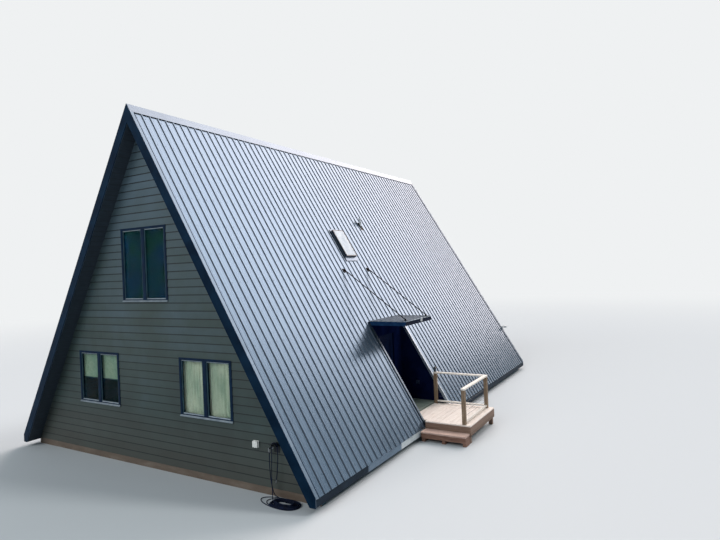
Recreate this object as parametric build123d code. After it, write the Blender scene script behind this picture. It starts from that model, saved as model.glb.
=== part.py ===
from build123d import *
import math
import os

# A-frame cabin: ribbed metal roof down to the ground, lap-sided gable walls, an entrance
# recessed into the right slope with a small canopy and porch. Millimetres, X to the right of
# the front gable, Y along the ridge from front to back, Z up. Origin under the ridge, on the
# ground, half way along the cabin.

# Roof form
EAVE_HALF = 4877.0          # ridge line to the metal's lower edge, 16 ft
EAVE_Z = 280.0              # the metal's lower edge above the ground
RIDGE_Z = 8425.0            # where the two pan surfaces would meet
WALL_LENGTH = 14407.0       # outer face of the front siding to that of the back siding
GABLE_OVERHANG = 340.0      # roof past each gable wall
PANEL_T = 190.0             # rafters, insulation and decking in one panel
TAIL_INSET = 37.0           # eave line to the plumb cut of the rafter tails
TAIL_Z = 120.0              # level cut under the rafter tails

# Ribbed steel sheet
SHEET_T = 3.0
RIB_PITCH = 228.6           # 9 in
RIB_FIRST = 70.0            # roof end to the first rib's middle
RIB_HEIGHT = 19.0
RIB_BASE = 60.0
RIB_TOP = 22.0
SHEET_TOP_GAP = 12.0        # sheet ends this far below the ridge line

# Ridge cap, rake and eave trims
CAP_WIDTH = 190.0
CAP_T = 4.0
FASCIA_T = 25.0
FASCIA_DEPTH = 200.0        # from the pan surface down, square to the slope
RAKE_FLANGE = 95.0
FLANGE_T = 3.0
EAVE_BOARD_T = 25.0
GREY_BOARD_START = 1620.0   # from the front wall's face
WHITE_BOARD_START = 3220.0
BOARD_JOINT = 3.0

# Gable walls
WALL_T = 140.0
SIDING_T = 20.0
SIDING_BOTTOM = 154.0
SKIRT_T = 14.0
SKIRT_GAP = 4.0             # skirt board's top to the siding

# Windows
WINDOW_AXIS_X = -85.0
LOWER_WINDOW_W = 1590.0
LOWER_WINDOW_H = 1310.0
LOWER_WINDOW_SILL = 1352.0
LOWER_WINDOW_SPREAD = 3724.0    # middle to middle of the two lower windows
UPPER_WINDOW_W = 1590.0
UPPER_WINDOW_H = 1752.0
UPPER_WINDOW_SILL = 3921.0
WINDOW_FIT = 0.3
FRAME_PROUD = 8.0
FRAME_DEPTH = 92.0
JAMB_W = 58.0
MULLION_W = 96.0
HEAD_W = 50.0
PANE_SETBACK = 30.0
PANE_T = 24.0
PANE_REBATE = 12.0
SHADE_T = 8.0
SHADE_DROP = 700.0
CURTAIN_T = 36.0
CURTAIN_INSET = 30.0
SOFT_GAP = 0.3

# Floors and ground beams
MAIN_FLOOR_TOP = 520.0
MAIN_FLOOR_T = 220.0
UPPER_FLOOR_TOP = 3100.0
UPPER_FLOOR_T = 240.0
BEAM_W = 200.0
BEAM_INSET = 227.0          # eave line to the side beams

# Entrance recess in the right slope
ENTRY_START = 4700.0        # clear opening, from the front wall's face
ENTRY_W = 1820.0
ENTRY_DEPTH = 1577.0        # eave line to the outer face of the wall that holds the door
ENTRY_WALL_T = 120.0
CHEEK_T = 100.0
LINING_T = 20.0
LANDING_TOP = 500.0
LANDING_T = 200.0
LANDING_INSET = 512.0       # eave line to the landing's outer edge
DOOR_HOLE_W = 960.0
DOOR_HOLE_H = 2080.0
DOOR_FRAME_W = 38.0
DOOR_T = 44.0
DOOR_GAP = 3.0
DOOR_SETBACK = 40.0
KNOB_R = 27.0
KNOB_Z = 960.0              # above the landing
KNOB_INSET = 70.0

# Canopy and its tie rods
CANOPY_TOP_Z = 3020.0
CANOPY_T = 118.0
CANOPY_REACH = 1085.0       # door wall to the canopy's outer edge
CANOPY_SHORT = 130.0        # narrower than the recess by this much
CANOPY_RIM_T = 38.0
CANOPY_BOARD_T = 18.0
CANOPY_SHEET_T = 8.0
CANOPY_DRIP = 12.0
ROD_R = 13.0
ROD_RIBS = 6                # rib spacings between the two rods
ROD_LOW_INSET = 95.0        # canopy's outer edge to the rod's lower eye
ROD_TOP_S = 4640.0          # ridge to the upper anchor, along the slope
ANCHOR_PLATE = 130.0
ANCHOR_PLATE_T = 8.0
EYE_R = 26.0
EYE_T = 20.0

# Skylight over the middle of the recess, vent pipe beyond it, placed down from the ridge
SKYLIGHT_S = 3704.0
SKYLIGHT_PAST = 31.0        # its middle past the recess's middle
SKYLIGHT_W = 585.0
SKYLIGHT_L = 944.0
SKYLIGHT_RISE = 65.0
SKYLIGHT_RIM = 70.0
SKYLIGHT_PANE_T = 18.0
SKYLIGHT_REBATE = 30.0
FLASHING_T = 2.0
FLASHING_HEAD = 60.0        # flashing round the curb, on the ribs
FLASHING_SIDE = 45.0
FLASHING_FOOT = 135.0
VENT_BEYOND = 868.0         # from the recess
VENT_S = 2925.0
VENT_R = 40.0
VENT_WALL = 6.0
VENT_RISE = 270.0
BOOT_W = 150.0
BOOT_L = 300.0
BOOT_T = 4.0
BOOT_SHIFT = 22.0           # boot plate's middle below the pipe's, along the slope
CONE_R = 74.0
CONE_TOP_R = 47.0
CONE_DEPTH = 150.0          # cone's foot below the pan and its top above, plumb
CONE_RISE = 96.0

# Porch
DECK_TOP = 450.0
DECK_REACH = 1243.0         # past the eave line
DECK_FRONT_LAP = 120.0      # past the recess at the step's side
DECK_BACK_LAP = 25.0
DECK_BOARD_W = 140.0
DECK_BOARD_GAP = 5.0
DECK_BOARD_T = 28.0
DECK_BOARDS = 12
RECESS_CLEAR = 3.0
JOIST_H = 122.0
JOIST_W = 45.0
DECK_RIM_T = 30.0
DECK_RIM_H = 222.0
DECK_LEG = 100.0
STEP_TOP = 262.0
STEP_GOING = 320.0
STEP_CLEAR = 23.0           # eave line to the step
STEP_SHORT = 30.0           # step's other end to the deck's outer edge
STEP_STRINGERS = 3
TREAD_T = 38.0
RISER_T = 25.0
RISER_H = 130.0
RISER_SETBACK = 20.0
STRINGER_W = 90.0
POST = 90.0
RAIL_TOP = 1364.0
RAIL_T = 38.0
RAIL_W = 100.0
LOWER_RAIL_Z = 500.0
LOWER_RAIL_H = 38.0
LOWER_RAIL_W = 60.0
CABLE_R = 3.0
CABLE_COUNT = 6

# Small fittings on the walls
OUTLET_INSET = 1694.0       # in from the eave line
OUTLET_Z = 998.0
OUTLET_W = 138.0
OUTLET_H = 136.0
OUTLET_D = 60.0
CHEEK_OUTLET_OUT = 530.0    # out from the door wall
CHEEK_OUTLET_Z = 1018.0
CHEEK_OUTLET_W = 110.0
GABLE_LAMP_Z = 1740.0
GABLE_LAMP_IN = 75.0        # arm's middle in from the roof's edge
GABLE_LAMP_OUT = 170.0      # mouth past the roof's edge
GABLE_LAMP_R = 46.0          # at the mouth
GABLE_LAMP_NECK_R = 34.0
GABLE_LAMP_ARM_R = 14.0
GABLE_LAMP_ARM_L = 80.0
GABLE_LAMP_PLATE_T = 9.0
PORCH_LAMP_W = 70.0
PORCH_LAMP_H = 180.0

# Garden hose on its tap and hanger. The tap is placed in from the eave line. Points are
# measured to the right of the tap, out of the siding, and up from the ground.
HOSE_D = 17.0
TAP_INSET = 1277.0
TAP_Z = 985.0
TAP_OUT = 100.0
TAP_PLATE_R = 36.0
TAP_BODY_R = 15.0
TAP_OUTLET_Z = 915.0
TAP_COLLAR_R = 15.0
HANGER_RIGHT = 122.0
HANGER_Z = 1030.0
HANGER_R = 68.0
HANGER_D = 120.0
HANGER_PLATE_T = 6.0
HANGER_SEAT = 0.5
COIL_RIGHT = 465.0
COIL_OUT = 250.0
COIL_RX = 350.0
COIL_RY = 215.0
COIL_HOLE_RX = 175.0
COIL_HOLE_RY = 62.0
COIL_H = 90.0
LOOP_RIGHT = -10.0
LOOP_OUT = 190.0
LOOP_R = 150.0
LOOP_LIFT = 1.5             # the loose turn over the pebbles
STUB_L = 60.0               # coiled end that meets each free run
HOSE_LEAD = [
    (0, 100, 915),
    (0, 100, 790),
    (4, 106, 640),
    (22, 120, 480),
    (62, 142, 330),
    (122, 172, 205),
    (175, 200, 130),
]
HOSE_RISE = [
    (195, 268, 130),
    (150, 224, 215),
    (106, 180, 320),
    (70, 134, 470),
    (50, 100, 640),
    (45, 84, 820),
    (45, 80, 952),
]
HOSE_DROP = [
    (199, 80, 950),
    (200, 84, 810),
    (197, 96, 660),
    (186, 104, 510),
    (168, 112, 390),
]
HOOK_OUT = 80.0
HOOK_POINTS = 4
HOSE_END_L = 60.0
HOSE_END_R = 13.0

# Values worked out from the sizes above
RUN = EAVE_HALF
RISE = RIDGE_Z - EAVE_Z
SLOPE_LENGTH = math.hypot(RUN, RISE)
COS = RUN / SLOPE_LENGTH
SIN = RISE / SLOPE_LENGTH
INNER_DEPTH = SHEET_T + PANEL_T
FRONT_Y = -WALL_LENGTH / 2
ROOF_HALF = WALL_LENGTH / 2 + GABLE_OVERHANG
ENTRY_Y0 = FRONT_Y + ENTRY_START
ENTRY_Y1 = ENTRY_Y0 + ENTRY_W
ENTRY_MID_Y = (ENTRY_Y0 + ENTRY_Y1) / 2
ENTRY_FACE_X = EAVE_HALF - ENTRY_DEPTH
ENTRY_BACK_X = ENTRY_FACE_X - ENTRY_WALL_T
TAIL_X = EAVE_HALF - TAIL_INSET
BEAM_OUTER_X = EAVE_HALF - BEAM_INSET
LANDING_END_X = EAVE_HALF - LANDING_INSET
CANOPY_OUT_X = ENTRY_FACE_X + CANOPY_REACH
CANOPY_W = ENTRY_W - CANOPY_SHORT
DECK_OUT_X = EAVE_HALF + DECK_REACH
DECK_Y0 = ENTRY_Y0 - DECK_FRONT_LAP
DECK_Y1 = ENTRY_Y1 + DECK_BACK_LAP
TAP_X = EAVE_HALF - TAP_INSET
ROOM_FRONT_Y = FRONT_Y + SIDING_T + WALL_T
ROOM_BACK_Y = -ROOM_FRONT_Y
FLOOR_BOTTOM = MAIN_FLOOR_TOP - MAIN_FLOOR_T


def on_slope(s, lift):
    """X and Z of a point s down the right slope from the ridge and lift above the pans."""
    return (s * COS + lift * SIN, RIDGE_Z - s * SIN + lift * COS)


def height_at(x, depth=0.0):
    """Height at distance x from the ridge line of the plane that lies depth below the pans."""
    return RIDGE_Z - x * SIN / COS - depth / COS


def half_width(z, depth=0.0):
    """Distance from the ridge line at height z of the plane that lies depth below the pans."""
    return (RIDGE_Z - z) * COS / SIN - depth / SIN


def slope_plane(y, s, lift=0.0):
    """Plane on the right slope: x along the ridge, y up the slope, z outwards."""
    x, z = on_slope(s, lift)
    return Plane(origin=(x, y, z), x_dir=(0, 1, 0), z_dir=(SIN, 0, COS))


def block(x0, x1, y0, y1, z0, z1):
    """Box between two corners."""
    middle = Pos((x0 + x1) / 2, (y0 + y1) / 2, (z0 + z1) / 2)
    return middle * Box(x1 - x0, y1 - y0, z1 - z0)


def along_ridge(points, y0, y1):
    """Outline in X and Z, drawn out along the ridge from y0 to y1."""
    plane = Plane(origin=(0, y0, 0), x_dir=(1, 0, 0), z_dir=(0, -1, 0))
    face = plane * make_face(Polyline(*points, close=True))
    return extrude(face, amount=y1 - y0, dir=(0, 1, 0))


def to_back(shape):
    """Copy on the back gable, mirrored over the middle of the cabin."""
    return mirror(shape, about=Plane.XZ)


def to_left(shape):
    """Copy on the left slope."""
    return mirror(shape, about=Plane.YZ)


def rib_y(index):
    """Middle of a rib, counted from the front end of the roof."""
    return -ROOF_HALF + RIB_FIRST + index * RIB_PITCH


def pan_middle(y):
    """Middle of the flat pan between ribs that lies nearest to y."""
    index = round((y - rib_y(0)) / RIB_PITCH - 0.5)
    return rib_y(index + 0.5)


# Roof

def panel_outline(end_x=None):
    """Section of one roof panel, down to the eave or to a plumb cut at end_x."""
    outer = SHEET_T
    top = [(0, height_at(0, INNER_DEPTH)), (0, height_at(0, outer))]
    if end_x is not None:
        return top + [(end_x, height_at(end_x, outer)), (end_x, height_at(end_x, INNER_DEPTH))]
    tail = [(TAIL_X, height_at(TAIL_X, outer)), (TAIL_X, TAIL_Z)]
    return top + tail + [(half_width(TAIL_Z, INNER_DEPTH), TAIL_Z)]


def skylight_plane():
    """Plane of the pans at the skylight's middle."""
    return slope_plane(ENTRY_MID_Y + SKYLIGHT_PAST, SKYLIGHT_S)


def skylight_hole(depth):
    size = SKYLIGHT_RIM * 2
    hole = Box(SKYLIGHT_W - size, SKYLIGHT_L - size, depth * 2)
    return skylight_plane() * hole


def roof_left():
    return to_left(along_ridge(panel_outline(), -ROOF_HALF, ROOF_HALF))


def roof_right_front():
    return along_ridge(panel_outline(), -ROOF_HALF, ENTRY_Y0 - LINING_T)


def roof_right_rear():
    return along_ridge(panel_outline(), ENTRY_Y1 + LINING_T, ROOF_HALF)


def roof_over_entry():
    panel = along_ridge(panel_outline(ENTRY_BACK_X), ENTRY_Y0 - LINING_T, ENTRY_Y1 + LINING_T)
    return panel - skylight_hole(INNER_DEPTH * 2)


def sheet_profile():
    """Section of the ribbed sheet: along the ridge and outwards."""
    outer = [(-ROOF_HALF, 0)]
    index = 0
    while rib_y(index) + RIB_BASE / 2 < ROOF_HALF:
        middle = rib_y(index)
        outer.append((middle - RIB_BASE / 2, 0))
        outer.append((middle - RIB_TOP / 2, RIB_HEIGHT))
        outer.append((middle + RIB_TOP / 2, RIB_HEIGHT))
        outer.append((middle + RIB_BASE / 2, 0))
        index += 1
    outer.append((ROOF_HALF, 0))
    inner = [(u, v - SHEET_T) for u, v in reversed(outer)]
    return outer + inner


def metal_sheet():
    x, z = on_slope(SHEET_TOP_GAP, 0)
    plane = Plane(origin=(x, 0, z), x_dir=(0, 1, 0), z_dir=(COS, 0, -SIN))
    face = plane * make_face(Polyline(*sheet_profile(), close=True))
    return extrude(face, amount=SLOPE_LENGTH - SHEET_TOP_GAP, dir=(COS, 0, -SIN))


def metal_roof_left():
    return to_left(metal_sheet())


def metal_roof_right():
    doorway = block(ENTRY_FACE_X, EAVE_HALF * 2, ENTRY_Y0, ENTRY_Y1, -EAVE_Z, RIDGE_Z)
    return metal_sheet() - doorway - skylight_hole(RIB_HEIGHT * 2)


def ridge_cap():
    top = RIB_HEIGHT + CAP_T
    points = [
        (0, height_at(0, -top)),
        on_slope(CAP_WIDTH, top),
        on_slope(CAP_WIDTH, RIB_HEIGHT),
    ]
    under = [(0, height_at(0, -RIB_HEIGHT))]
    left = [(-x, z) for x, z in reversed(points) if x > 0]
    return along_ridge(points + under + left, -ROOF_HALF, ROOF_HALF)


def front_rake_trim():
    """Fascia boards in an inverted V, with a flange that laps the outermost rib."""
    top = RIB_HEIGHT + FLANGE_T
    outer = [
        (0, height_at(0, -top)),
        (EAVE_HALF, height_at(EAVE_HALF, -top)),
        (EAVE_HALF, TAIL_Z),
        (half_width(TAIL_Z, FASCIA_DEPTH), TAIL_Z),
    ]
    under = [(0, height_at(0, FASCIA_DEPTH))]
    left = [(-x, z) for x, z in reversed(outer) if x > 0]
    fascia = along_ridge(outer + under + left, -ROOF_HALF - FASCIA_T, -ROOF_HALF)
    start = CAP_WIDTH + BOARD_JOINT
    strip = [
        on_slope(start, RIB_HEIGHT),
        on_slope(start, top),
        on_slope(SLOPE_LENGTH, top),
        on_slope(SLOPE_LENGTH, RIB_HEIGHT),
    ]
    flange = along_ridge(strip, -ROOF_HALF - FASCIA_T / 2, -ROOF_HALF + RAKE_FLANGE)
    return fascia + flange + to_left(flange)


def eave_board(y0, y1):
    outer_x = TAIL_X + EAVE_BOARD_T
    points = [
        (TAIL_X, TAIL_Z),
        (outer_x, TAIL_Z),
        (outer_x, height_at(outer_x, SHEET_T)),
        (TAIL_X, height_at(TAIL_X, SHEET_T)),
    ]
    return along_ridge(points, y0, y1)


def eave_boards():
    left = to_left(eave_board(-ROOF_HALF, ROOF_HALF))
    front = eave_board(-ROOF_HALF, FRONT_Y + GREY_BOARD_START - BOARD_JOINT)
    rear = eave_board(ENTRY_Y1 + LINING_T, ROOF_HALF)
    return Compound([left, front, rear])


def eave_board_grey():
    return eave_board(FRONT_Y + GREY_BOARD_START, FRONT_Y + WHITE_BOARD_START - BOARD_JOINT)


def eave_board_white():
    return eave_board(FRONT_Y + WHITE_BOARD_START, ENTRY_Y0 - LINING_T)


# Gable walls and windows

def under_roof(bottom, top):
    """Section between the roof's undersides from one level to another."""
    shoulder = half_width(TAIL_Z, INNER_DEPTH)
    right = [(half_width(top, INNER_DEPTH), top)]
    if bottom < TAIL_Z:
        right += [(shoulder, TAIL_Z), (shoulder, bottom)]
    else:
        right += [(half_width(bottom, INNER_DEPTH), bottom)]
    left = [(-x, z) for x, z in reversed(right) if x > 0]
    return right + left


def gable_outline(bottom):
    """Gable between the roof's undersides, down to a level bottom."""
    return under_roof(bottom, height_at(0, INNER_DEPTH))


def window_places():
    """Middle, sill, width and height of each window in a gable."""
    half = LOWER_WINDOW_SPREAD / 2
    lower = (LOWER_WINDOW_SILL, LOWER_WINDOW_W, LOWER_WINDOW_H)
    upper = (UPPER_WINDOW_SILL, UPPER_WINDOW_W, UPPER_WINDOW_H)
    return {
        "left": (WINDOW_AXIS_X - half,) + lower,
        "right": (WINDOW_AXIS_X + half,) + lower,
        "upper": (WINDOW_AXIS_X,) + upper,
    }


def with_window_holes(wall, y0, y1):
    for middle, sill, width, height in window_places().values():
        wall = wall - block(middle - width / 2, middle + width / 2, y0, y1, sill, sill + height)
    return wall


def front_wall():
    y0 = FRONT_Y + SIDING_T
    wall = along_ridge(gable_outline(0), y0, y0 + WALL_T)
    return with_window_holes(wall, y0 - WALL_T, y0 + WALL_T * 2)


def front_siding():
    siding = along_ridge(gable_outline(SIDING_BOTTOM), FRONT_Y, FRONT_Y + SIDING_T)
    return with_window_holes(siding, FRONT_Y - SIDING_T, FRONT_Y + SIDING_T * 2)


def skirt_boards():
    back = FRONT_Y + SIDING_T
    front = along_ridge(under_roof(0, SIDING_BOTTOM - SKIRT_GAP), back - SKIRT_T, back)
    return Compound([front, to_back(front)])


def pane_opening(place, side):
    """Sight opening of one of a window's two panes: its left, right, bottom and top."""
    middle, sill, width, height = place
    near = MULLION_W / 2
    far = width / 2 - JAMB_W
    inner, outer = (middle - far, middle - near) if side < 0 else (middle + near, middle + far)
    return inner, outer, sill + HEAD_W, sill + height - HEAD_W


def window_frame(place):
    middle, sill, width, height = place
    half = width / 2 - WINDOW_FIT
    y0 = FRONT_Y - FRAME_PROUD
    y1 = y0 + FRAME_DEPTH
    frame = block(middle - half, middle + half, y0, y1, sill + WINDOW_FIT, sill + height - WINDOW_FIT)
    for side in (-1, 1):
        x0, x1, z0, z1 = pane_opening(place, side)
        frame = frame - block(x0, x1, y0 - FRAME_DEPTH, y1 + FRAME_DEPTH, z0, z1)
        rebate = PANE_REBATE + WINDOW_FIT
        pocket_y = FRONT_Y + PANE_SETBACK
        frame = frame - block(
            x0 - rebate, x1 + rebate, pocket_y, y1 + FRAME_DEPTH, z0 - rebate, z1 + rebate
        )
    return frame


def window_panes(place):
    panes = []
    for side in (-1, 1):
        x0, x1, z0, z1 = pane_opening(place, side)
        y0 = FRONT_Y + PANE_SETBACK
        grow = PANE_REBATE
        panes.append(block(x0 - grow, x1 + grow, y0, y0 + PANE_T, z0 - grow, z1 + grow))
    return panes


def front_glass():
    panes = []
    for place in window_places().values():
        panes += window_panes(place)
    return Compound(panes)


def back_windows():
    return Compound([to_back(window_frame(place)) for place in window_places().values()])


def window_shades():
    """Roller shades drawn half way down in the lower left window's reveal."""
    place = window_places()["left"]
    top = place[1] + place[3] - SOFT_GAP
    y0 = FRONT_Y - FRAME_PROUD + FRAME_DEPTH + SOFT_GAP
    shades = []
    for side in (-1, 1):
        x0, x1, z0, z1 = pane_opening(place, side)
        shades.append(block(x0 - JAMB_W / 2, x1 + JAMB_W / 4, y0, y0 + SHADE_T, top - SHADE_DROP, top))
    return Compound(shades)


def curtains():
    """Two full-length curtains in the lower right window's reveal."""
    place = window_places()["right"]
    middle, sill, width, height = place
    top = sill + height - SOFT_GAP
    y0 = FRONT_Y - FRAME_PROUD + FRAME_DEPTH + SOFT_GAP
    panels = []
    for side in (-1, 1):
        near = middle + side * MULLION_W / 4
        far = middle + side * (width / 2 - CURTAIN_INSET)
        x0, x1 = min(near, far), max(near, far)
        panels.append(block(x0, x1, y0, y0 + CURTAIN_T, sill + CURTAIN_INSET, top))
    return Compound(panels)


# Floors and ground beams

def inside_roof(z0, z1):
    """Space between the roof's undersides and the gable walls."""
    return along_ridge(under_roof(z0, z1), ROOM_FRONT_Y, ROOM_BACK_Y)


def foundation():
    """Ground beams under both slopes and under the middle of the floor."""
    side = block(BEAM_OUTER_X - BEAM_W, BEAM_OUTER_X, ROOM_FRONT_Y, ROOM_BACK_Y, 0, FLOOR_BOTTOM)
    side = side & inside_roof(0, FLOOR_BOTTOM)
    centre = block(-BEAM_W / 2, BEAM_W / 2, ROOM_FRONT_Y, ROOM_BACK_Y, 0, FLOOR_BOTTOM)
    return Compound([side, to_left(side), centre])


def entry_notch():
    """Space that the recess and its cheeks take out of the floors."""
    y0 = ENTRY_Y0 - LINING_T - CHEEK_T
    y1 = ENTRY_Y1 + LINING_T + CHEEK_T
    return block(ENTRY_BACK_X, RUN, y0, y1, 0, RIDGE_Z)


def main_floor():
    return inside_roof(FLOOR_BOTTOM, MAIN_FLOOR_TOP) - entry_notch()


def upper_floor():
    return inside_roof(UPPER_FLOOR_TOP - UPPER_FLOOR_T, UPPER_FLOOR_TOP) - entry_notch()


# Entrance recess

def entry_wall():
    """Wall under the canopy, up to the roof sheet, with the doorway cut through."""
    points = [
        (ENTRY_BACK_X, LANDING_TOP),
        (ENTRY_FACE_X, LANDING_TOP),
        (ENTRY_FACE_X, height_at(ENTRY_FACE_X, SHEET_T)),
        (ENTRY_BACK_X, height_at(ENTRY_BACK_X, SHEET_T)),
    ]
    wall = along_ridge(points, ENTRY_Y0 - LINING_T, ENTRY_Y1 + LINING_T)
    half = DOOR_HOLE_W / 2
    top = LANDING_TOP + DOOR_HOLE_H
    hole = block(0, RUN, ENTRY_MID_Y - half, ENTRY_MID_Y + half, 0, top)
    return wall - hole


def cheek(edge_y, away):
    """Side wall of the recess: framing under the roof panel and a lining over its cut edge."""
    foot = LANDING_TOP - LANDING_T
    tail = (half_width(TAIL_Z, INNER_DEPTH), TAIL_Z)
    lining_points = [
        (ENTRY_FACE_X, foot),
        (half_width(foot, INNER_DEPTH), foot),
        tail,
        (TAIL_X, TAIL_Z),
        (TAIL_X, height_at(TAIL_X, SHEET_T)),
        (ENTRY_FACE_X, height_at(ENTRY_FACE_X, SHEET_T)),
    ]
    framing_points = [
        (ENTRY_BACK_X, foot),
        (half_width(foot, INNER_DEPTH), foot),
        (ENTRY_BACK_X, height_at(ENTRY_BACK_X, INNER_DEPTH)),
    ]
    y0, y1 = sorted((edge_y, edge_y + away * LINING_T))
    lining = along_ridge(lining_points, y0, y1)
    y0, y1 = sorted((edge_y + away * LINING_T, edge_y + away * (LINING_T + CHEEK_T)))
    return lining + along_ridge(framing_points, y0, y1)


def entry_cheeks():
    return Compound([cheek(ENTRY_Y0, -1), cheek(ENTRY_Y1, 1)])


def entry_landing():
    return block(
        ENTRY_BACK_X, LANDING_END_X, ENTRY_Y0, ENTRY_Y1, LANDING_TOP - LANDING_T, LANDING_TOP
    )


def door_span():
    """Left, right, bottom and top of the door leaf, inside its frame."""
    half = DOOR_HOLE_W / 2 - DOOR_FRAME_W - DOOR_GAP
    top = LANDING_TOP + DOOR_HOLE_H - DOOR_FRAME_W - DOOR_GAP
    return ENTRY_MID_Y - half, ENTRY_MID_Y + half, LANDING_TOP + DOOR_FRAME_W + DOOR_GAP, top


def entry_door_frame():
    half = DOOR_HOLE_W / 2
    z1 = LANDING_TOP + DOOR_HOLE_H
    frame = block(ENTRY_BACK_X, ENTRY_FACE_X, ENTRY_MID_Y - half, ENTRY_MID_Y + half, LANDING_TOP, z1)
    y0, y1, leaf_z0, leaf_z1 = door_span()
    hole = block(0, RUN, y0 - DOOR_GAP, y1 + DOOR_GAP, leaf_z0 - DOOR_GAP, leaf_z1 + DOOR_GAP)
    stop_x = ENTRY_FACE_X - DOOR_SETBACK - DOOR_T
    stop = DOOR_FRAME_W / 2
    ring = block(ENTRY_BACK_X, stop_x, y0 - DOOR_GAP, y1 + DOOR_GAP, leaf_z0 - DOOR_GAP, leaf_z1 + DOOR_GAP)
    ring = ring - block(0, RUN, y0 + stop, y1 - stop, leaf_z0 - DOOR_GAP, leaf_z1 - stop)
    return frame - hole + ring


def entry_door():
    y0, y1, z0, z1 = door_span()
    x1 = ENTRY_FACE_X - DOOR_SETBACK
    leaf = block(x1 - DOOR_T, x1, y0, y1, z0, z1)
    knob_y = y1 - KNOB_INSET
    knob_z = LANDING_TOP + KNOB_Z
    stem = Pos(x1 + KNOB_R / 2, knob_y, knob_z) * Rot(0, 90, 0) * Cylinder(KNOB_R / 2, KNOB_R)
    return leaf + stem + Pos(x1 + KNOB_R * 1.6, knob_y, knob_z) * Sphere(KNOB_R)


# Canopy

def above_ribs(lift):
    """Everything outside the right slope, past the ribs and lift more."""
    x, z = on_slope(0, RIB_HEIGHT + lift)
    reach = SLOPE_LENGTH
    cutter = Box(ROOF_HALF * 2, reach * 2, reach, align=(Align.CENTER, Align.CENTER, Align.MIN))
    return slope_plane(0, reach / 2, RIB_HEIGHT + lift) * cutter


def rod_ys():
    """Both tie rods stand in the middle of a pan."""
    first = pan_middle(ENTRY_Y0 + (CANOPY_W - ROD_RIBS * RIB_PITCH) / 2)
    return first, first + ROD_RIBS * RIB_PITCH


def canopy_frame():
    """Rim boards round a soffit board, with the back cut to the slope."""
    z1 = CANOPY_TOP_Z - CANOPY_SHEET_T
    z0 = CANOPY_TOP_Z - CANOPY_T
    y0 = ENTRY_Y0
    y1 = y0 + CANOPY_W
    body = block(ENTRY_FACE_X - PANEL_T, CANOPY_OUT_X, y0, y1, z0, z1)
    inner_x0 = ENTRY_FACE_X + CANOPY_RIM_T * 2
    inner_x1 = CANOPY_OUT_X - CANOPY_RIM_T
    hollow = block(
        inner_x0, inner_x1, y0 + CANOPY_RIM_T, y1 - CANOPY_RIM_T, z0 + CANOPY_BOARD_T, z1
    )
    return (body - hollow) & above_ribs(SOFT_GAP)


def canopy_top():
    """Sheet that laps the rim on three sides."""
    y0 = ENTRY_Y0
    y1 = y0 + CANOPY_W
    z0 = CANOPY_TOP_Z - CANOPY_SHEET_T
    sheet = block(
        ENTRY_FACE_X - PANEL_T, CANOPY_OUT_X + CANOPY_DRIP, y0 - CANOPY_DRIP, y1 + CANOPY_DRIP,
        z0, CANOPY_TOP_Z
    )
    return sheet & above_ribs(SOFT_GAP)


def canopy_rod(y):
    """Tie rod with an eye at each end, a plate on the roof and a lug on the canopy."""
    top_x, top_z = on_slope(ROD_TOP_S, EYE_R * 1.5)
    low = Vector(CANOPY_OUT_X - ROD_LOW_INSET, y, CANOPY_TOP_Z + EYE_R * 1.5)
    top = Vector(top_x, y, top_z)
    rod = Solid.make_cylinder(ROD_R, (top - low).length, Plane(origin=low, z_dir=top - low))
    shape = Part() + rod
    for centre in (low, top):
        shape = shape + Pos(centre.X, centre.Y, centre.Z) * Rot(90, 0, 0) * Cylinder(EYE_R, EYE_T)
    plate = Box(ANCHOR_PLATE, ANCHOR_PLATE, ANCHOR_PLATE_T, align=(Align.CENTER, Align.CENTER, Align.MIN))
    lug = Box(EYE_T, EYE_R * 2, EYE_R * 1.5, align=(Align.CENTER, Align.CENTER, Align.MIN))
    shape = shape + slope_plane(y, ROD_TOP_S) * plate + slope_plane(y, ROD_TOP_S) * lug
    foot = Pos(low.X, y, CANOPY_TOP_Z)
    shape = shape + foot * plate + foot * Rot(0, 0, 90) * lug
    return shape


def canopy_rods():
    return Compound([canopy_rod(y) for y in rod_ys()])


# Skylight and vent

def skylight_curb():
    """Raised curb through the roof opening, with a rebate for the pane, in a sheet of flashing
    that lies on the ribs and reaches further below it than above."""
    plane = skylight_plane()
    rise = SKYLIGHT_RISE
    outer = Box(SKYLIGHT_W, SKYLIGHT_L, rise, align=(Align.CENTER, Align.CENTER, Align.MIN))
    outer = Pos(0, 0, RIB_HEIGHT + SOFT_GAP) * outer
    flashing = Box(
        SKYLIGHT_W + FLASHING_SIDE * 2, SKYLIGHT_L + FLASHING_HEAD + FLASHING_FOOT, FLASHING_T,
        align=(Align.CENTER, Align.CENTER, Align.MIN)
    )
    outer = outer + Pos(0, (FLASHING_HEAD - FLASHING_FOOT) / 2, RIB_HEIGHT + SOFT_GAP) * flashing
    hole_w = SKYLIGHT_W - SKYLIGHT_RIM * 2
    hole_l = SKYLIGHT_L - SKYLIGHT_RIM * 2
    throat = Box(hole_w, hole_l, INNER_DEPTH + RIB_HEIGHT + rise)
    neck_top = RIB_HEIGHT + rise / 2
    neck = Pos(0, 0, (neck_top - INNER_DEPTH) / 2) * Box(
        hole_w - SOFT_GAP * 2, hole_l - SOFT_GAP * 2, neck_top + INNER_DEPTH
    )
    lining = SKYLIGHT_RIM / 4
    bore = Box(hole_w - lining * 2, hole_l - lining * 2, throat.bounding_box().size.Z * 2)
    pocket_w = SKYLIGHT_W - SKYLIGHT_REBATE * 2
    pocket_l = SKYLIGHT_L - SKYLIGHT_REBATE * 2
    pocket = Pos(0, 0, RIB_HEIGHT + SOFT_GAP + rise - SKYLIGHT_PANE_T) * Box(
        pocket_w + SOFT_GAP * 2, pocket_l + SOFT_GAP * 2, SKYLIGHT_PANE_T * 2,
        align=(Align.CENTER, Align.CENTER, Align.MIN)
    )
    return plane * (outer + neck - bore - pocket)


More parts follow.
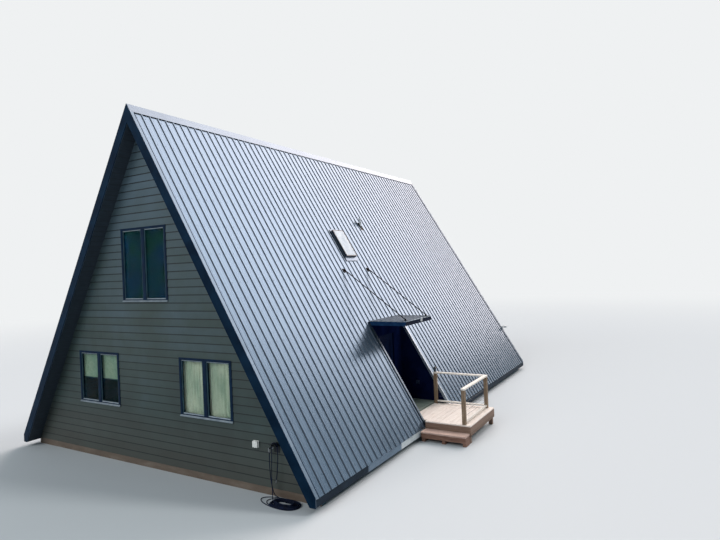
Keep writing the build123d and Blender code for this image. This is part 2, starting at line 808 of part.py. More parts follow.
def skylight_glass():
    plane = skylight_plane()
    pane = Box(
        SKYLIGHT_W - SKYLIGHT_REBATE * 2, SKYLIGHT_L - SKYLIGHT_REBATE * 2, SKYLIGHT_PANE_T,
        align=(Align.CENTER, Align.CENTER, Align.MIN)
    )
    return plane * Pos(0, 0, RIB_HEIGHT + SOFT_GAP + SKYLIGHT_RISE - SKYLIGHT_PANE_T) * pane


def vent_pipe():
    """Plumb vent pipe in a boot: a plate on the pan with a cone that grips the pipe."""
    y = pan_middle(ENTRY_Y1 + VENT_BEYOND)
    x, z = on_slope(VENT_S, 0)
    plane = slope_plane(y, VENT_S)
    low = (Align.CENTER, Align.CENTER, Align.MIN)
    plate = plane * Pos(0, -BOOT_SHIFT, 0) * Box(BOOT_W, BOOT_L, BOOT_T, align=low)
    cone = Cone(CONE_R, CONE_TOP_R, CONE_DEPTH + CONE_RISE, align=low)
    pipe = Cylinder(VENT_R, CONE_DEPTH + VENT_RISE, align=low)
    upright = Pos(x, y, z - CONE_DEPTH) * (cone + pipe)
    bore = Pos(x, y, z + VENT_RISE / 2) * Cylinder(VENT_R - VENT_WALL, VENT_RISE, align=low)
    keep = plane * Box(VENT_RISE * 4, VENT_RISE * 4, VENT_RISE * 4, align=low)
    return (plate + (upright & keep)) - bore


# Porch

def porch_deck():
    """Boards along the cabin, narrowed to the recess where they run into it."""
    open_x = EAVE_HALF + RIB_HEIGHT
    boards = []
    for index in range(DECK_BOARDS):
        x1 = DECK_OUT_X - index * (DECK_BOARD_W + DECK_BOARD_GAP)
        x0 = x1 - DECK_BOARD_W
        z0 = DECK_TOP - DECK_BOARD_T
        board = block(x0, x1, ENTRY_Y0 + RECESS_CLEAR, ENTRY_Y1 - RECESS_CLEAR, z0, DECK_TOP)
        if x1 > open_x:
            board = board + block(max(x0, open_x), x1, DECK_Y0, DECK_Y1, z0, DECK_TOP)
        boards.append(board)
    return Compound(boards)


def deck_inner_x():
    return DECK_OUT_X - DECK_BOARDS * (DECK_BOARD_W + DECK_BOARD_GAP) + DECK_BOARD_GAP


def porch_frame():
    """Joists across the deck, rim boards on its open sides and legs down to the ground."""
    z1 = DECK_TOP - DECK_BOARD_T
    z0 = z1 - JOIST_H
    y0 = DECK_Y0 + DECK_RIM_T
    y1 = DECK_Y1 - DECK_RIM_T
    outer_x = DECK_OUT_X - DECK_RIM_T
    open_x = EAVE_HALF + RIB_HEIGHT
    inner_x = deck_inner_x()
    rim_z = z1 - DECK_RIM_H
    frame = block(open_x, DECK_OUT_X, y0 - DECK_RIM_T, y0, rim_z, z1)
    frame = frame + block(open_x, DECK_OUT_X, y1, y1 + DECK_RIM_T, rim_z, z1)
    frame = frame + block(outer_x, DECK_OUT_X, y0, y1, rim_z, z1)
    spacing = (ENTRY_W - RECESS_CLEAR * 4 - JOIST_W) / 3
    for index in range(4):
        joist_y = ENTRY_Y0 + RECESS_CLEAR * 2 + index * spacing
        frame = frame + block(inner_x, outer_x, joist_y, joist_y + JOIST_W, z0, z1)
    header_x = open_x + DECK_LEG
    frame = frame + block(header_x, header_x + JOIST_W, y0, y1, z0, z1)
    for leg_x in (open_x + DECK_LEG, outer_x - DECK_LEG):
        for leg_y in (y0, y1 - DECK_LEG):
            frame = frame + block(leg_x, leg_x + DECK_LEG, leg_y, leg_y + DECK_LEG, 0, z1)
    return frame


def porch_step():
    """One step in front of the deck: tread, riser board and the stringers that carry them."""
    y1 = DECK_Y0
    y0 = y1 - STEP_GOING
    x0 = EAVE_HALF + STEP_CLEAR
    x1 = DECK_OUT_X - STEP_SHORT
    under = STEP_TOP - TREAD_T
    step = block(x0, x1, y0, y1, under, STEP_TOP)
    riser_y = y0 + RISER_SETBACK
    step = step + block(x0, x1, riser_y, riser_y + RISER_T, under - RISER_H, under)
    spacing = (x1 - x0 - STRINGER_W) / (STEP_STRINGERS - 1)
    for index in range(STEP_STRINGERS):
        left = x0 + index * spacing
        step = step + block(left, left + STRINGER_W, riser_y + RISER_T, y1, 0, under)
    return step


def post_places():
    """Lower left corners of the posts: outer front, outer back and beside the recess."""
    outer_x = DECK_OUT_X - DECK_BOARD_W - POST
    back_y = ENTRY_Y1 - DECK_RIM_T - POST
    front_y = DECK_Y0 + DECK_RIM_T
    inner_x = deck_inner_x()
    return [(outer_x, front_y), (outer_x, back_y), (inner_x, back_y)]


def porch_posts():
    top = RAIL_TOP - RAIL_T
    return Compound([block(x, x + POST, y, y + POST, DECK_TOP, top) for x, y in post_places()])


def porch_rails():
    """Top rails on the posts and lower rails between them, on the outer and back sides."""
    (front_x, front_y), (corner_x, corner_y), (inner_x, inner_y) = post_places()
    over = (RAIL_W - POST) / 2
    z0 = RAIL_TOP - RAIL_T
    outer = block(corner_x - over, corner_x + POST + over, front_y - over, corner_y + POST + over, z0, RAIL_TOP)
    back = block(inner_x - over, corner_x - over, corner_y - over, corner_y + POST + over, z0, RAIL_TOP)
    side = (POST - LOWER_RAIL_W) / 2
    low0 = LOWER_RAIL_Z
    low1 = LOWER_RAIL_Z + LOWER_RAIL_H
    low_outer = block(
        corner_x + side, corner_x + POST - side, front_y + POST, corner_y, low0, low1
    )
    low_back = block(inner_x + POST, corner_x, corner_y + side, corner_y + POST - side, low0, low1)
    return Compound([outer + back, low_outer, low_back])


def cable_heights():
    low = LOWER_RAIL_Z + LOWER_RAIL_H
    high = RAIL_TOP - RAIL_T
    gap = (high - low) / (CABLE_COUNT + 1)
    return [low + gap * (index + 1) for index in range(CABLE_COUNT)]


def porch_cables():
    """Tight steel cables between the posts."""
    (front_x, front_y), (corner_x, corner_y), (inner_x, inner_y) = post_places()
    middle_x = corner_x + POST / 2
    middle_y = corner_y + POST / 2
    wires = []
    for z in cable_heights():
        start = Vector(middle_x, front_y + POST, z)
        plane = Plane(origin=start, z_dir=(0, 1, 0))
        wires.append(Solid.make_cylinder(CABLE_R, corner_y - front_y - POST, plane))
        start = Vector(inner_x + POST, middle_y, z)
        plane = Plane(origin=start, z_dir=(1, 0, 0))
        wires.append(Solid.make_cylinder(CABLE_R, corner_x - inner_x - POST, plane))
    return Compound(wires)


def porch_lamp():
    """Small lantern on the house side of the inner post."""
    inner_x, inner_y = post_places()[2]
    middle_y = inner_y + POST / 2
    half = PORCH_LAMP_W / 2
    z0 = RAIL_TOP
    body = block(
        inner_x, inner_x + PORCH_LAMP_W, middle_y - half, middle_y + half, z0, z0 + PORCH_LAMP_H
    )
    return body


# Fittings

def outlet_boxes():
    half = OUTLET_W / 2
    x = EAVE_HALF - OUTLET_INSET
    front = block(
        x - half, x + half, FRONT_Y - OUTLET_D, FRONT_Y,
        OUTLET_Z - OUTLET_H / 2, OUTLET_Z + OUTLET_H / 2
    )
    half = CHEEK_OUTLET_W / 2
    x = ENTRY_FACE_X + CHEEK_OUTLET_OUT
    inside = block(
        x - half, x + half, ENTRY_Y1 - OUTLET_D, ENTRY_Y1,
        CHEEK_OUTLET_Z - half, CHEEK_OUTLET_Z + half
    )
    return Compound([front, inside])


def gable_lamp():
    """Lamp at the back end of the right rake: round plate, arm and a head that opens outwards."""
    edge = half_width(GABLE_LAMP_Z, -RIB_HEIGHT - FLANGE_T)
    arm_x = edge - GABLE_LAMP_IN
    back = Plane(origin=(arm_x, ROOF_HALF + FASCIA_T, GABLE_LAMP_Z), z_dir=(0, 1, 0))
    plate = Solid.make_cylinder(GABLE_LAMP_NECK_R, GABLE_LAMP_PLATE_T, back)
    arm = Solid.make_cylinder(GABLE_LAMP_ARM_R, GABLE_LAMP_ARM_L, back)
    neck_x = arm_x - GABLE_LAMP_ARM_R * 2
    head = Cone(
        GABLE_LAMP_NECK_R, GABLE_LAMP_R, edge + GABLE_LAMP_OUT - neck_x,
        align=(Align.CENTER, Align.CENTER, Align.MIN)
    )
    head = Pos(neck_x, ROOF_HALF + FASCIA_T + GABLE_LAMP_ARM_L, GABLE_LAMP_Z) * Rot(0, 90, 0) * head
    return head + plate + arm


def hose_point(point):
    """Point of the hose given by its place right of the tap, out of the siding and up."""
    right, out, z = point
    return Vector(TAP_X + right, FRONT_Y - out, z)


def hook_points():
    """Points of the hose over its hanger, from the rising side to the falling one."""
    radius = HANGER_R + HANGER_SEAT + HOSE_D / 2
    half = math.pi / HOOK_POINTS / 2
    points = []
    for index in range(HOOK_POINTS):
        angle = math.pi - half * (2 * index + 1)
        across = HANGER_RIGHT + radius / math.cos(half) * math.cos(angle)
        points.append((across, HOOK_OUT, HANGER_Z + radius / math.cos(half) * math.sin(angle)))
    return points


def hose_tube(route):
    """Tube along straight runs joined by arcs as large as the runs allow."""
    points = [hose_point(point) for point in route]
    radii = []
    for before, corner, after in zip(points, points[1:], points[2:]):
        first = corner - before
        second = after - corner
        turn = math.radians(first.get_angle(second))
        radii.append(0.45 * min(first.length, second.length) / math.tan(turn / 2))
    print("hose radii", [round(radius) for radius in radii])
    path = FilletPolyline(*points, radius=radii)
    section = Plane(origin=path @ 0, z_dir=path % 0) * Circle(HOSE_D / 2)
    tube = sweep(section, path=path)
    print("hose volume", round(tube.volume), round(path.length * math.pi * HOSE_D ** 2 / 4))
    return tube


def hose_stub(end, before):
    """Coiled end of the hose, in line with the free run that it meets at end."""
    tip = hose_point(end)
    plane = Plane(origin=tip, z_dir=tip - hose_point(before))
    return Solid.make_cylinder(HOSE_D / 2, STUB_L, plane)


def hose_coil():
    """Loose coil on the ground by the wall, with one turn lying to its left."""
    centre = Pos(TAP_X + COIL_RIGHT, FRONT_Y - COIL_OUT, 0)
    ring = extrude(Ellipse(COIL_RX, COIL_RY) - Ellipse(COIL_HOLE_RX, COIL_HOLE_RY), COIL_H)
    ring = chamfer(ring.edges().group_by(Axis.Z)[-1], HOSE_D)
    coil = centre * ring
    section = Plane.XZ * Pos(LOOP_R, 0) * RegularPolygon(HOSE_D / 2, 8)
    turn = Pos(TAP_X + LOOP_RIGHT, FRONT_Y - LOOP_OUT, HOSE_D / 2 + LOOP_LIFT) * revolve(section, Axis.Z)
    coil = coil + turn + hose_stub(HOSE_LEAD[-1], HOSE_LEAD[-2])
    return coil + hose_stub(HOSE_RISE[0], HOSE_RISE[1])


def hose_tap():
    """Wall tap: plate on the siding, body, spout, handle and the hose's collar."""
    axis = Plane(origin=(TAP_X, FRONT_Y, TAP_Z), z_dir=(0, -1, 0))
    plate = Solid.make_cylinder(TAP_PLATE_R, TAP_BODY_R / 2, axis)
    body = Solid.make_cylinder(TAP_BODY_R, TAP_OUT + TAP_BODY_R, axis)
    spout_base = Plane(origin=(TAP_X, FRONT_Y - TAP_OUT, TAP_OUTLET_Z), z_dir=(0, 0, 1))
    spout = Solid.make_cylinder(TAP_COLLAR_R, TAP_Z - TAP_OUTLET_Z, spout_base)
    stem_base = Plane(origin=(TAP_X, FRONT_Y - TAP_OUT / 2, TAP_Z), z_dir=(0, 0, 1))
    stem = Solid.make_cylinder(TAP_BODY_R / 2, TAP_BODY_R * 3, stem_base)
    wheel_base = Plane(origin=(TAP_X, FRONT_Y - TAP_OUT / 2, TAP_Z + TAP_BODY_R * 3), z_dir=(0, 0, 1))
    wheel = Solid.make_cylinder(TAP_BODY_R * 2, TAP_BODY_R / 2, wheel_base)
    return Part() + plate + body + spout + stem + wheel


def hose_hanger():
    """Half-round saddle on a wall plate, with a lip in front."""
    x = TAP_X + HANGER_RIGHT
    plate = block(
        x - HANGER_R, x + HANGER_R, FRONT_Y - HANGER_PLATE_T, FRONT_Y,
        HANGER_Z - HANGER_R * 2, HANGER_Z + HANGER_R / 2
    )
    axis = Plane(origin=(x, FRONT_Y, HANGER_Z), z_dir=(0, -1, 0))
    drum = Solid.make_cylinder(HANGER_R, HANGER_D, axis)
    hollow = Solid.make_cylinder(HANGER_R - HANGER_PLATE_T, HANGER_D, axis)
    lower = block(
        x - HANGER_R, x + HANGER_R, FRONT_Y - HANGER_D, FRONT_Y,
        HANGER_Z - HANGER_R, HANGER_Z
    )
    return plate + (drum - hollow - lower)


def hose_end():
    """Coupling on the hose's free end."""
    last = hose_point(HOSE_DROP[-1])
    before = hose_point(HOSE_DROP[-2])
    plane = Plane(origin=last, z_dir=last - before)
    return Part() + Solid.make_cylinder(HOSE_END_R, HOSE_END_L, plane)


NODES = {
    "foundation": foundation,
    "main_floor": main_floor,
    "upper_floor": upper_floor,
    "front_wall": front_wall,
    "back_wall": lambda: to_back(front_wall()),
    "front_siding": front_siding,
    "back_siding": lambda: to_back(front_siding()),
    "skirt_boards": skirt_boards,
    "roof_left": roof_left,
    "roof_right_front": roof_right_front,
    "roof_right_rear": roof_right_rear,
    "roof_over_entry": roof_over_entry,
    "metal_roof_left": metal_roof_left,
    "metal_roof_right": metal_roof_right,
    "ridge_cap": ridge_cap,
    "front_rake_trim": front_rake_trim,
    "back_rake_trim": lambda: to_back(front_rake_trim()),
    "eave_boards": eave_boards,
    "eave_board_grey": eave_board_grey,
    "eave_board_white": eave_board_white,
    "entry_wall": entry_wall,
    "entry_cheeks": entry_cheeks,
    "entry_landing": entry_landing,
    "entry_door_frame": entry_door_frame,
    "entry_door": entry_door,
    "canopy_frame": canopy_frame,
    "canopy_top": canopy_top,
    "canopy_rods": canopy_rods,
    "skylight_curb": skylight_curb,
    "skylight_glass": skylight_glass,
    "vent_pipe": vent_pipe,
    "front_window_left": lambda: window_frame(window_places()["left"]),
    "front_window_right": lambda: window_frame(window_places()["right"]),
    "front_window_upper": lambda: window_frame(window_places()["upper"]),
    "back_windows": back_windows,
    "front_glass": front_glass,
    "back_glass": lambda: to_back(front_glass()),
    "window_shades": window_shades,
    "curtains": curtains,
    "porch_frame": porch_frame,
    "porch_deck": porch_deck,
    "porch_step": porch_step,
    "porch_posts": porch_posts,
    "porch_rails": porch_rails,
    "porch_cables": porch_cables,
    "porch_lamp": porch_lamp,
    "gable_lamp": gable_lamp,
    "outlet_boxes": outlet_boxes,
    "hose_tap": hose_tap,
    "hose_hanger": hose_hanger,
    "hose_lead": lambda: hose_tube(HOSE_LEAD),
    "hose_coil": hose_coil,
    "hose_tail": lambda: hose_tube(HOSE_RISE + hook_points() + HOSE_DROP),
    "hose_end": hose_end,
}

os.makedirs("parts", exist_ok=True)
for name, make in NODES.items():
    export_step(make(), f"parts/{name}.step")
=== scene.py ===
import math
import random

import bmesh
import bpy
import numpy as np
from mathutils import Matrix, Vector


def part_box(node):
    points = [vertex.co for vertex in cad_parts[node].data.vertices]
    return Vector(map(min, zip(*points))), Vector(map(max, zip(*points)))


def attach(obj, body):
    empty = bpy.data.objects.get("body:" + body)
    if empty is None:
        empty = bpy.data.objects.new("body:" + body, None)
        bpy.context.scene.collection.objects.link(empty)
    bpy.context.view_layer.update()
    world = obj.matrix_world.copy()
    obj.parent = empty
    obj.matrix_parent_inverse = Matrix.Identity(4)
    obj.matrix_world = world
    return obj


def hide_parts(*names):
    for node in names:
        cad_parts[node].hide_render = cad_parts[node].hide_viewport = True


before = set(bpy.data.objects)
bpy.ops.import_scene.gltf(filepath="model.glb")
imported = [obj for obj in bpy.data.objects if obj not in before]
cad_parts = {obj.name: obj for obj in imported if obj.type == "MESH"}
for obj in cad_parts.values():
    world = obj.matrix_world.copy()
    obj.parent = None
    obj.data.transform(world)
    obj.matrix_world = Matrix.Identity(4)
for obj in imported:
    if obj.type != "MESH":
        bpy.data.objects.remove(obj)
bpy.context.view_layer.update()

# A-frame cabin in its own frame: metres, X to the right of the front gable, Y along the ridge
# from front to back, Z up. The sizes below repeat those that the solids were made with.

# Roof and gable walls
FRONT_Y = -7.2035           # outer face of the front siding
WALL_FACE_Y = 7.184         # outer face of the gable framing, from the cabin's middle
ROOF_HALF = 7.5435          # the roof's end, from the cabin's middle
EAVE_HALF = 4.877           # ridge line to the metal's lower edge
EAVE_Z = 0.280
RIDGE_Z = 8.425             # where the two pan surfaces would meet
SLOPE = math.hypot(EAVE_HALF, RIDGE_Z - EAVE_Z)
COS = EAVE_HALF / SLOPE
SIN = (RIDGE_Z - EAVE_Z) / SLOPE
RIB_PITCH = 0.2286
RIB_FIRST = 0.070           # the roof's end to the first rib's middle
RIB_HEIGHT = 0.019
PENCIL_RIB = 0.0755         # a rib's middle to the pencil rib beside it
RAKE_HEM = 7.4725           # hem of the rake's flange, from the cabin's middle
RAKE_FOLD = 7.5562          # where the flange turns down into the fascia
BOARD_SHOW = 0.178          # what shows of each siding board
SIDING_BOTTOM = 0.154
LINING_BOARD = 0.140
VENT_DOWN = 2.925           # ridge to the vent, down the slope
SKYLIGHT_DOWN = 3.741       # ridge to the middle of the skylight's flashing
SKYLIGHT_PAST = 0.031       # past the recess's middle

# Entrance
ENTRY_Y0 = -2.5035
ENTRY_Y1 = -0.6835
ENTRY_MID_Y = (ENTRY_Y0 + ENTRY_Y1) / 2
ENTRY_FACE_X = 3.300
DOOR_SETBACK = 0.040
KNOB_Z = 1.460
KNOB_INSET = 0.070
CANOPY_TOP_Z = 3.020
CANOPY_OUT_X = 4.385

# Windows
WINDOW_AXIS_X = -0.085
LOWER_SILL = 1.352
UPPER_SILL = 3.921
WINDOW_W = 1.590
LOWER_H = 1.310
UPPER_H = 1.752
LOWER_SPREAD = 3.724        # middle to middle of the two lower windows
JAMB_W = 0.058
HALF_MULLION = 0.048
HEAD_W = 0.050
FRAME_FRONT_Y = FRONT_Y - 0.008
CLOTH_Y = FRAME_FRONT_Y + 0.092 + 0.0003
CLOTH_T = 0.0008

# Porch
DECK_TOP = 0.450
DECK_OUT_X = 6.120
DECK_BOARD_W = 0.140
DECK_BOARD_PITCH = 0.145
POST_HALF = 0.045
POST_OUT_X = 5.935
POST_IN_X = 4.430
POST_NEAR_Y = -2.5485
POST_FAR_Y = -0.7585


def on_slope(down, lift=0.0, side=1):
    """Point on a slope: metres down from the ridge, lifted off the pans, on side 1 or -1."""
    return side * (down * COS + lift * SIN), RIDGE_Z - down * SIN + lift * COS


def link_new(name, data):
    """New object at the origin, in the scene."""
    made = bpy.data.objects.new(name, data)
    bpy.context.scene.collection.objects.link(made)
    return made


# Camera, where the photograph was taken from

camera_data = bpy.data.cameras.new("camera")
camera_data.lens = 27.309
camera_data.sensor_width = 36.0
camera_data.clip_end = 2000.0
camera = link_new("camera", camera_data)
camera.location = (10.8109, -15.6593, 4.5018)
camera.rotation_euler = (1.5673719, 0.0397643, 0.5341390)
bpy.context.scene.camera = camera


# Garden hose. Points are measured in millimetres to the right of the tap, out of the siding
# and up from the ground, as the solids have them.

HOSE_D = 17.0
TAP_X = 3.600
HOSE_LEAD = [
    (0, 100, 915),
    (0, 100, 790),
    (4, 106, 640),
    (22, 120, 480),
    (62, 142, 330),
    (122, 172, 205),
    (178, 202, 142),
    (240, 212, 116),
    (308, 206, 94),
    (368, 197, 52),
    (430, 183, 19),
]
HOSE_RISE = [
    (172, 252, 160),
    (150, 224, 215),
    (106, 180, 320),
    (70, 134, 470),
    (50, 100, 640),
    (45, 84, 820),
    (45, 80, 952),
]
HOSE_HOOK = [
    (45, 80, 1061.9),
    (90.1, 80, 1107),
    (153.9, 80, 1107),
    (199, 80, 1061.9),
]
HOSE_DROP = [
    (199, 80, 950),
    (200, 84, 810),
    (197, 96, 660),
    (186, 104, 510),
    (168, 112, 390),
]
COIL_RIGHT = 465.0
COIL_OUT = 250.0
COIL_START = math.radians(285)
INNER_LONG = 200            # half the length and the width of the first turn
INNER_SHORT = 84
OVAL = 1.25                 # turns grow this much faster in length than in width
TURN_GAP = 1.12 * HOSE_D
TURN_POINTS = 14
FLOOR_TURNS = 6
SECOND_TURNS = 5
LOOSE_TURNS = 4
LOOSE_LONG = 205            # least half length and half width of the loose turns
LOOSE_SHORT = 86
COIL_SEED = 3


def coil_point(turn, long_half, short_half, right=COIL_RIGHT, out=COIL_OUT, lean=0.0):
    """Point of a long oval turn round the coil's middle, blunt at both ends."""
    angle = COIL_START + turn * math.tau
    across = math.cos(angle)
    x = short_half * across
    x += (long_half - short_half) * math.tanh(1.6 * across) / math.tanh(1.6)
    return [right + x, out + short_half * math.sin(angle) + lean * x]


def floor_turns(wander, step):
    """Turns on the ground, outwards. Two of the outer ones slid off to the left."""
    slid_turns = {FLOOR_TURNS - 1: (118, 22), FLOOR_TURNS: (262, 48)}
    turns = []
    for index in range(FLOOR_TURNS * TURN_POINTS):
        turn = index / TURN_POINTS
        sway = 4 * math.sin(turn * 2.3 + wander)
        point = coil_point(turn, INNER_LONG + turn * step * OVAL + sway, INNER_SHORT + turn * step + sway)
        leftward = -math.cos(COIL_START + turn * math.tau)
        slid = slid_turns.get(int(turn + 0.6))
        if slid and leftward > 0:
            point[0] -= slid[0] * leftward ** 1.4
            point[1] -= slid[1] * leftward ** 1.4
        turns.append(point)
    return turns


def coil_turns():
    """Turns as they were dropped: outwards on the ground, back inwards on those, then loose."""
    chance = random.Random(COIL_SEED)
    wander = [chance.uniform(0, math.tau) for _ in range(3)]
    step = TURN_GAP * 1.17
    turns = floor_turns(wander[0], step)
    wide = INNER_LONG + FLOOR_TURNS * step * OVAL - 10
    deep = INNER_SHORT + FLOOR_TURNS * step - 8
    for index in range(SECOND_TURNS * TURN_POINTS):
        turn = index / TURN_POINTS
        shrink = turn * TURN_GAP * 1.2
        sway = 5 * math.sin(turn * 1.9 + wander[1])
        turns.append(coil_point(turn, wide - shrink * OVAL + sway, deep - shrink + sway))
    reach = [chance.uniform(0.05, 0.85) for _ in range(LOOSE_TURNS + 2)]
    reach[-1] = reach[-2] = 0.85
    lean = [chance.uniform(-1, 1) for _ in range(LOOSE_TURNS + 2)]
    shift = [chance.uniform(-1, 1) for _ in range(LOOSE_TURNS + 2)]
    reach[0] = min(1, max(0, (wide - SECOND_TURNS * TURN_GAP * 1.5 - LOOSE_LONG) / 120))
    lean[0] = shift[0] = 0
    start = SECOND_TURNS - 1 / TURN_POINTS
    for index in range(int((LOOSE_TURNS - 0.35) * TURN_POINTS)):
        done = (index + 1) / TURN_POINTS
        here = int(done)
        blend = (done - here) ** 2 * (3 - 2 * (done - here))
        now = [a[here] * (1 - blend) + a[here + 1] * blend for a in (reach, lean, shift)]
        turns.append(coil_point(
            start + done, LOOSE_LONG + 115 * now[0], LOOSE_SHORT + 95 * now[0],
            COIL_RIGHT + 14 * now[2], COIL_OUT + 7 * now[1], 0.12 * now[1],
        ))
    while turns[-1][0] < 300:
        turns.pop()
    return turns


def settle(turns):
    """Height of each point, so that it lies on the ground or on the turns under it."""
    flat = np.array(turns)
    contact = HOSE_D * 1.04
    laid = []
    settled = []
    for index, point in enumerate(flat):
        before = flat[max(0, index - 1)]
        after = flat[min(len(flat) - 1, index + 1)]
        height = HOSE_D / 2 + 1.5
        under = np.array(laid[: max(0, len(laid) - 16)])
        for share in (0, 0.25, 0.5):
            for other in (before, after):
                if not len(under):
                    continue
                place = point * (1 - share) + other * share
                apart = ((under[:, :2] - place) ** 2).sum(axis=1)
                near = apart < contact ** 2
                if near.any():
                    rest = under[near, 2] + np.sqrt(contact ** 2 - apart[near])
                    height = max(height, rest.max())
        settled.append((point[0], point[1], height))
        if index:
            start = np.array(settled[-2])
            for share in (0, 0.25, 0.5, 0.75):
                laid.append(start * (1 - share) + np.array(settled[-1]) * share)
    return settled


def hose_place(point):
    """Hose point in the cabin's frame, in metres."""
    right, out, up = point
    return TAP_X + right / 1000, FRONT_Y - out / 1000, up / 1000


def make_hose():
    coil = settle(coil_turns())
    climb = [(255, 341, max(coil[-1][2] + 6, 92)), (212, 300, 112)]
    points = HOSE_LEAD + coil + climb + HOSE_RISE + HOSE_HOOK + HOSE_DROP
    curve = bpy.data.curves.new("garden_hose", "CURVE")
    curve.dimensions = "3D"
    curve.bevel_depth = HOSE_D / 2000
    curve.bevel_resolution = 3
    curve.resolution_u = 6
    spline = curve.splines.new("NURBS")
    spline.points.add(len(points) - 1)
    for knot, point in zip(spline.points, points):
        knot.co = hose_place(point) + (1.0,)
    spline.order_u = 3
    spline.use_endpoint_u = True
    return link_new("garden_hose", curve)


# Materials

def linear(hex_colour):
    """sRGB hex colour as linear values for a socket."""
    parts = [int(hex_colour[at:at + 2], 16) / 255 for at in (0, 2, 4)]
    return tuple(v / 12.92 if v <= 0.04045 else ((v + 0.055) / 1.055) ** 2.4 for v in parts) + (1.0,)


def add(tree, kind, sockets=None, stops=None, take=0, **settings):
    """Adds a node: its own settings, its sockets' values or links, and a ramp's colours. Gives
    back the output named by take, or the node itself where it has none."""
    node = tree.nodes.new(kind)
    for name, value in settings.items():
        setattr(node, name, value)
    for name, value in (sockets or {}).items():
        for part in value if isinstance(value, list) else [value]:
            if isinstance(part, bpy.types.NodeSocket):
                tree.links.new(part, node.inputs[name])
            else:
                node.inputs[name].default_value = part
    for index, (place, hex_colour) in enumerate(stops or ()):
        ramp = node.color_ramp.elements
        element = ramp[index] if index < 2 else ramp.new(place)
        element.position = place
        element.color = linear(hex_colour)
    return node.outputs[take] if node.outputs else node


# Sets a mix node to colours, and names its output for them
COLOUR_MIX = {"take": 2, "data_type": "RGBA"}


def new_finish(name, **values):
    """Material with a shader whose even values are set on its own sockets."""
    material = bpy.data.materials.new(name)
    material.use_nodes = True
    tree = material.node_tree
    tree.nodes.clear()
    shader = add(tree, "ShaderNodeBsdfPrincipled", {
        key.replace("_", " "): value for key, value in values.items()
    }).node
    add(tree, "ShaderNodeOutputMaterial", {"Surface": shader.outputs["BSDF"]})
    where = add(tree, "ShaderNodeTexCoord", take="Object")
    return material, tree, shader, where


def surface(tree, shader, colour, marks, rough, relief, strength, depth, spread=(0.0, 1.0)):
    """Gives a shader its colour, a roughness that follows the marks, and a relief."""
    worn = add(tree, "ShaderNodeMapRange", {
        "Value": marks, "From Min": spread[0], "From Max": spread[1], "To Min": rough[0], "To Max": rough[1],
    })
    raised = add(tree, "ShaderNodeBump", {"Height": relief, "Strength": strength, "Distance": depth})
    for name, output in (("Base Color", colour), ("Roughness", worn), ("Normal", raised)):
        tree.links.new(output, shader.inputs[name])


def weathered(name, colours, patch_mm, fleck_mm, rough, bump_mm=0.3, stretch=(1, 1, 1), **values):
    """Even finish with clouded colour at patch_mm and a fine tooth at fleck_mm."""
    material, tree, shader, where = new_finish(name, **values)
    turned = add(tree, "ShaderNodeMapping", {"Vector": where, "Scale": stretch})
    patches = add(tree, "ShaderNodeTexNoise", {
        "Vector": turned, "Scale": 1000 / patch_mm, "Detail": 5.0, "Roughness": 0.6,
    })
    flecks = add(tree, "ShaderNodeTexNoise", {
        "Vector": turned, "Scale": 1000 / fleck_mm, "Detail": 3.0, "Roughness": 0.7,
    })
    mixed = add(tree, "ShaderNodeMath", {0: flecks, 1: 0.3, 2: patches}, operation="MULTIPLY_ADD")
    dark, middle, light = colours
    colour = add(tree, "ShaderNodeValToRGB", {"Fac": mixed}, [(0.42, dark), (0.88, light), (0.65, middle)])
    surface(tree, shader, colour, mixed, rough, flecks, 0.6, bump_mm / 1000, (0.4, 0.9))
    return material


def timber(name, colours, grain, ring_mm, rough, board_mm=0.0, board_axis="X", uneven=0.2, below=None):
    """Sawn softwood: grain runs along the axis grain, each board has its own shade, and boards
    below a height may have other colours."""
    material, tree, shader, where = new_finish(name)
    run = {"X": (0.06, 1, 1), "Y": (1, 0.06, 1), "Z": (1, 1, 0.06)}[grain]
    along = add(tree, "ShaderNodeMapping", {"Vector": where, "Scale": run})
    bends = add(tree, "ShaderNodeTexNoise", {
        "Vector": along, "Scale": 9.0, "Detail": 2.0, "Roughness": 0.5,
    }, take="Color")
    bent = add(tree, "ShaderNodeVectorMath", {
        0: bends, 1: (0.05, 0.05, 0.05), 2: along,
    }, operation="MULTIPLY_ADD")
    rings = add(tree, "ShaderNodeTexNoise", {
        "Vector": bent, "Scale": 1000 / ring_mm, "Detail": 4.0, "Roughness": 0.55,
    })
    fibre = add(tree, "ShaderNodeTexNoise", {
        "Vector": along, "Scale": 420.0, "Detail": 2.0, "Roughness": 0.6,
    })
    figure = add(tree, "ShaderNodeMath", {0: fibre, 1: 0.35, 2: rings}, operation="MULTIPLY_ADD")
    if board_mm:
        place = add(tree, "ShaderNodeSeparateXYZ", {"Vector": where}, take=board_axis)
        number = add(tree, "ShaderNodeMath", {0: place, 1: 1000 / board_mm}, operation="MULTIPLY")
        number = add(tree, "ShaderNodeMath", {0: number}, operation="FLOOR")
        shade = add(tree, "ShaderNodeTexWhiteNoise", {"W": number}, noise_dimensions="1D")
        figure = add(tree, "ShaderNodeMath", {0: shade, 1: uneven, 2: figure}, operation="MULTIPLY_ADD")
    ramps = []
    for dark, middle, light in [colours] + ([below[1]] if below else []):
        ramps.append(add(tree, "ShaderNodeValToRGB", {"Fac": figure}, [
            (0.45, dark), (0.95, light), (0.68, middle),
        ]))
    colour = ramps[0]
    if below:
        height = add(tree, "ShaderNodeSeparateXYZ", {"Vector": where}, take="Z")
        lower = add(tree, "ShaderNodeMath", {0: height, 1: below[0]}, operation="LESS_THAN")
        colour = add(tree, "ShaderNodeMix", {"Factor": lower, 6: ramps[0], 7: ramps[1]}, **COLOUR_MIX)
    surface(tree, shader, colour, figure, rough[::-1], figure, 0.7, 0.0012, (0.4, 1.0))
    return material


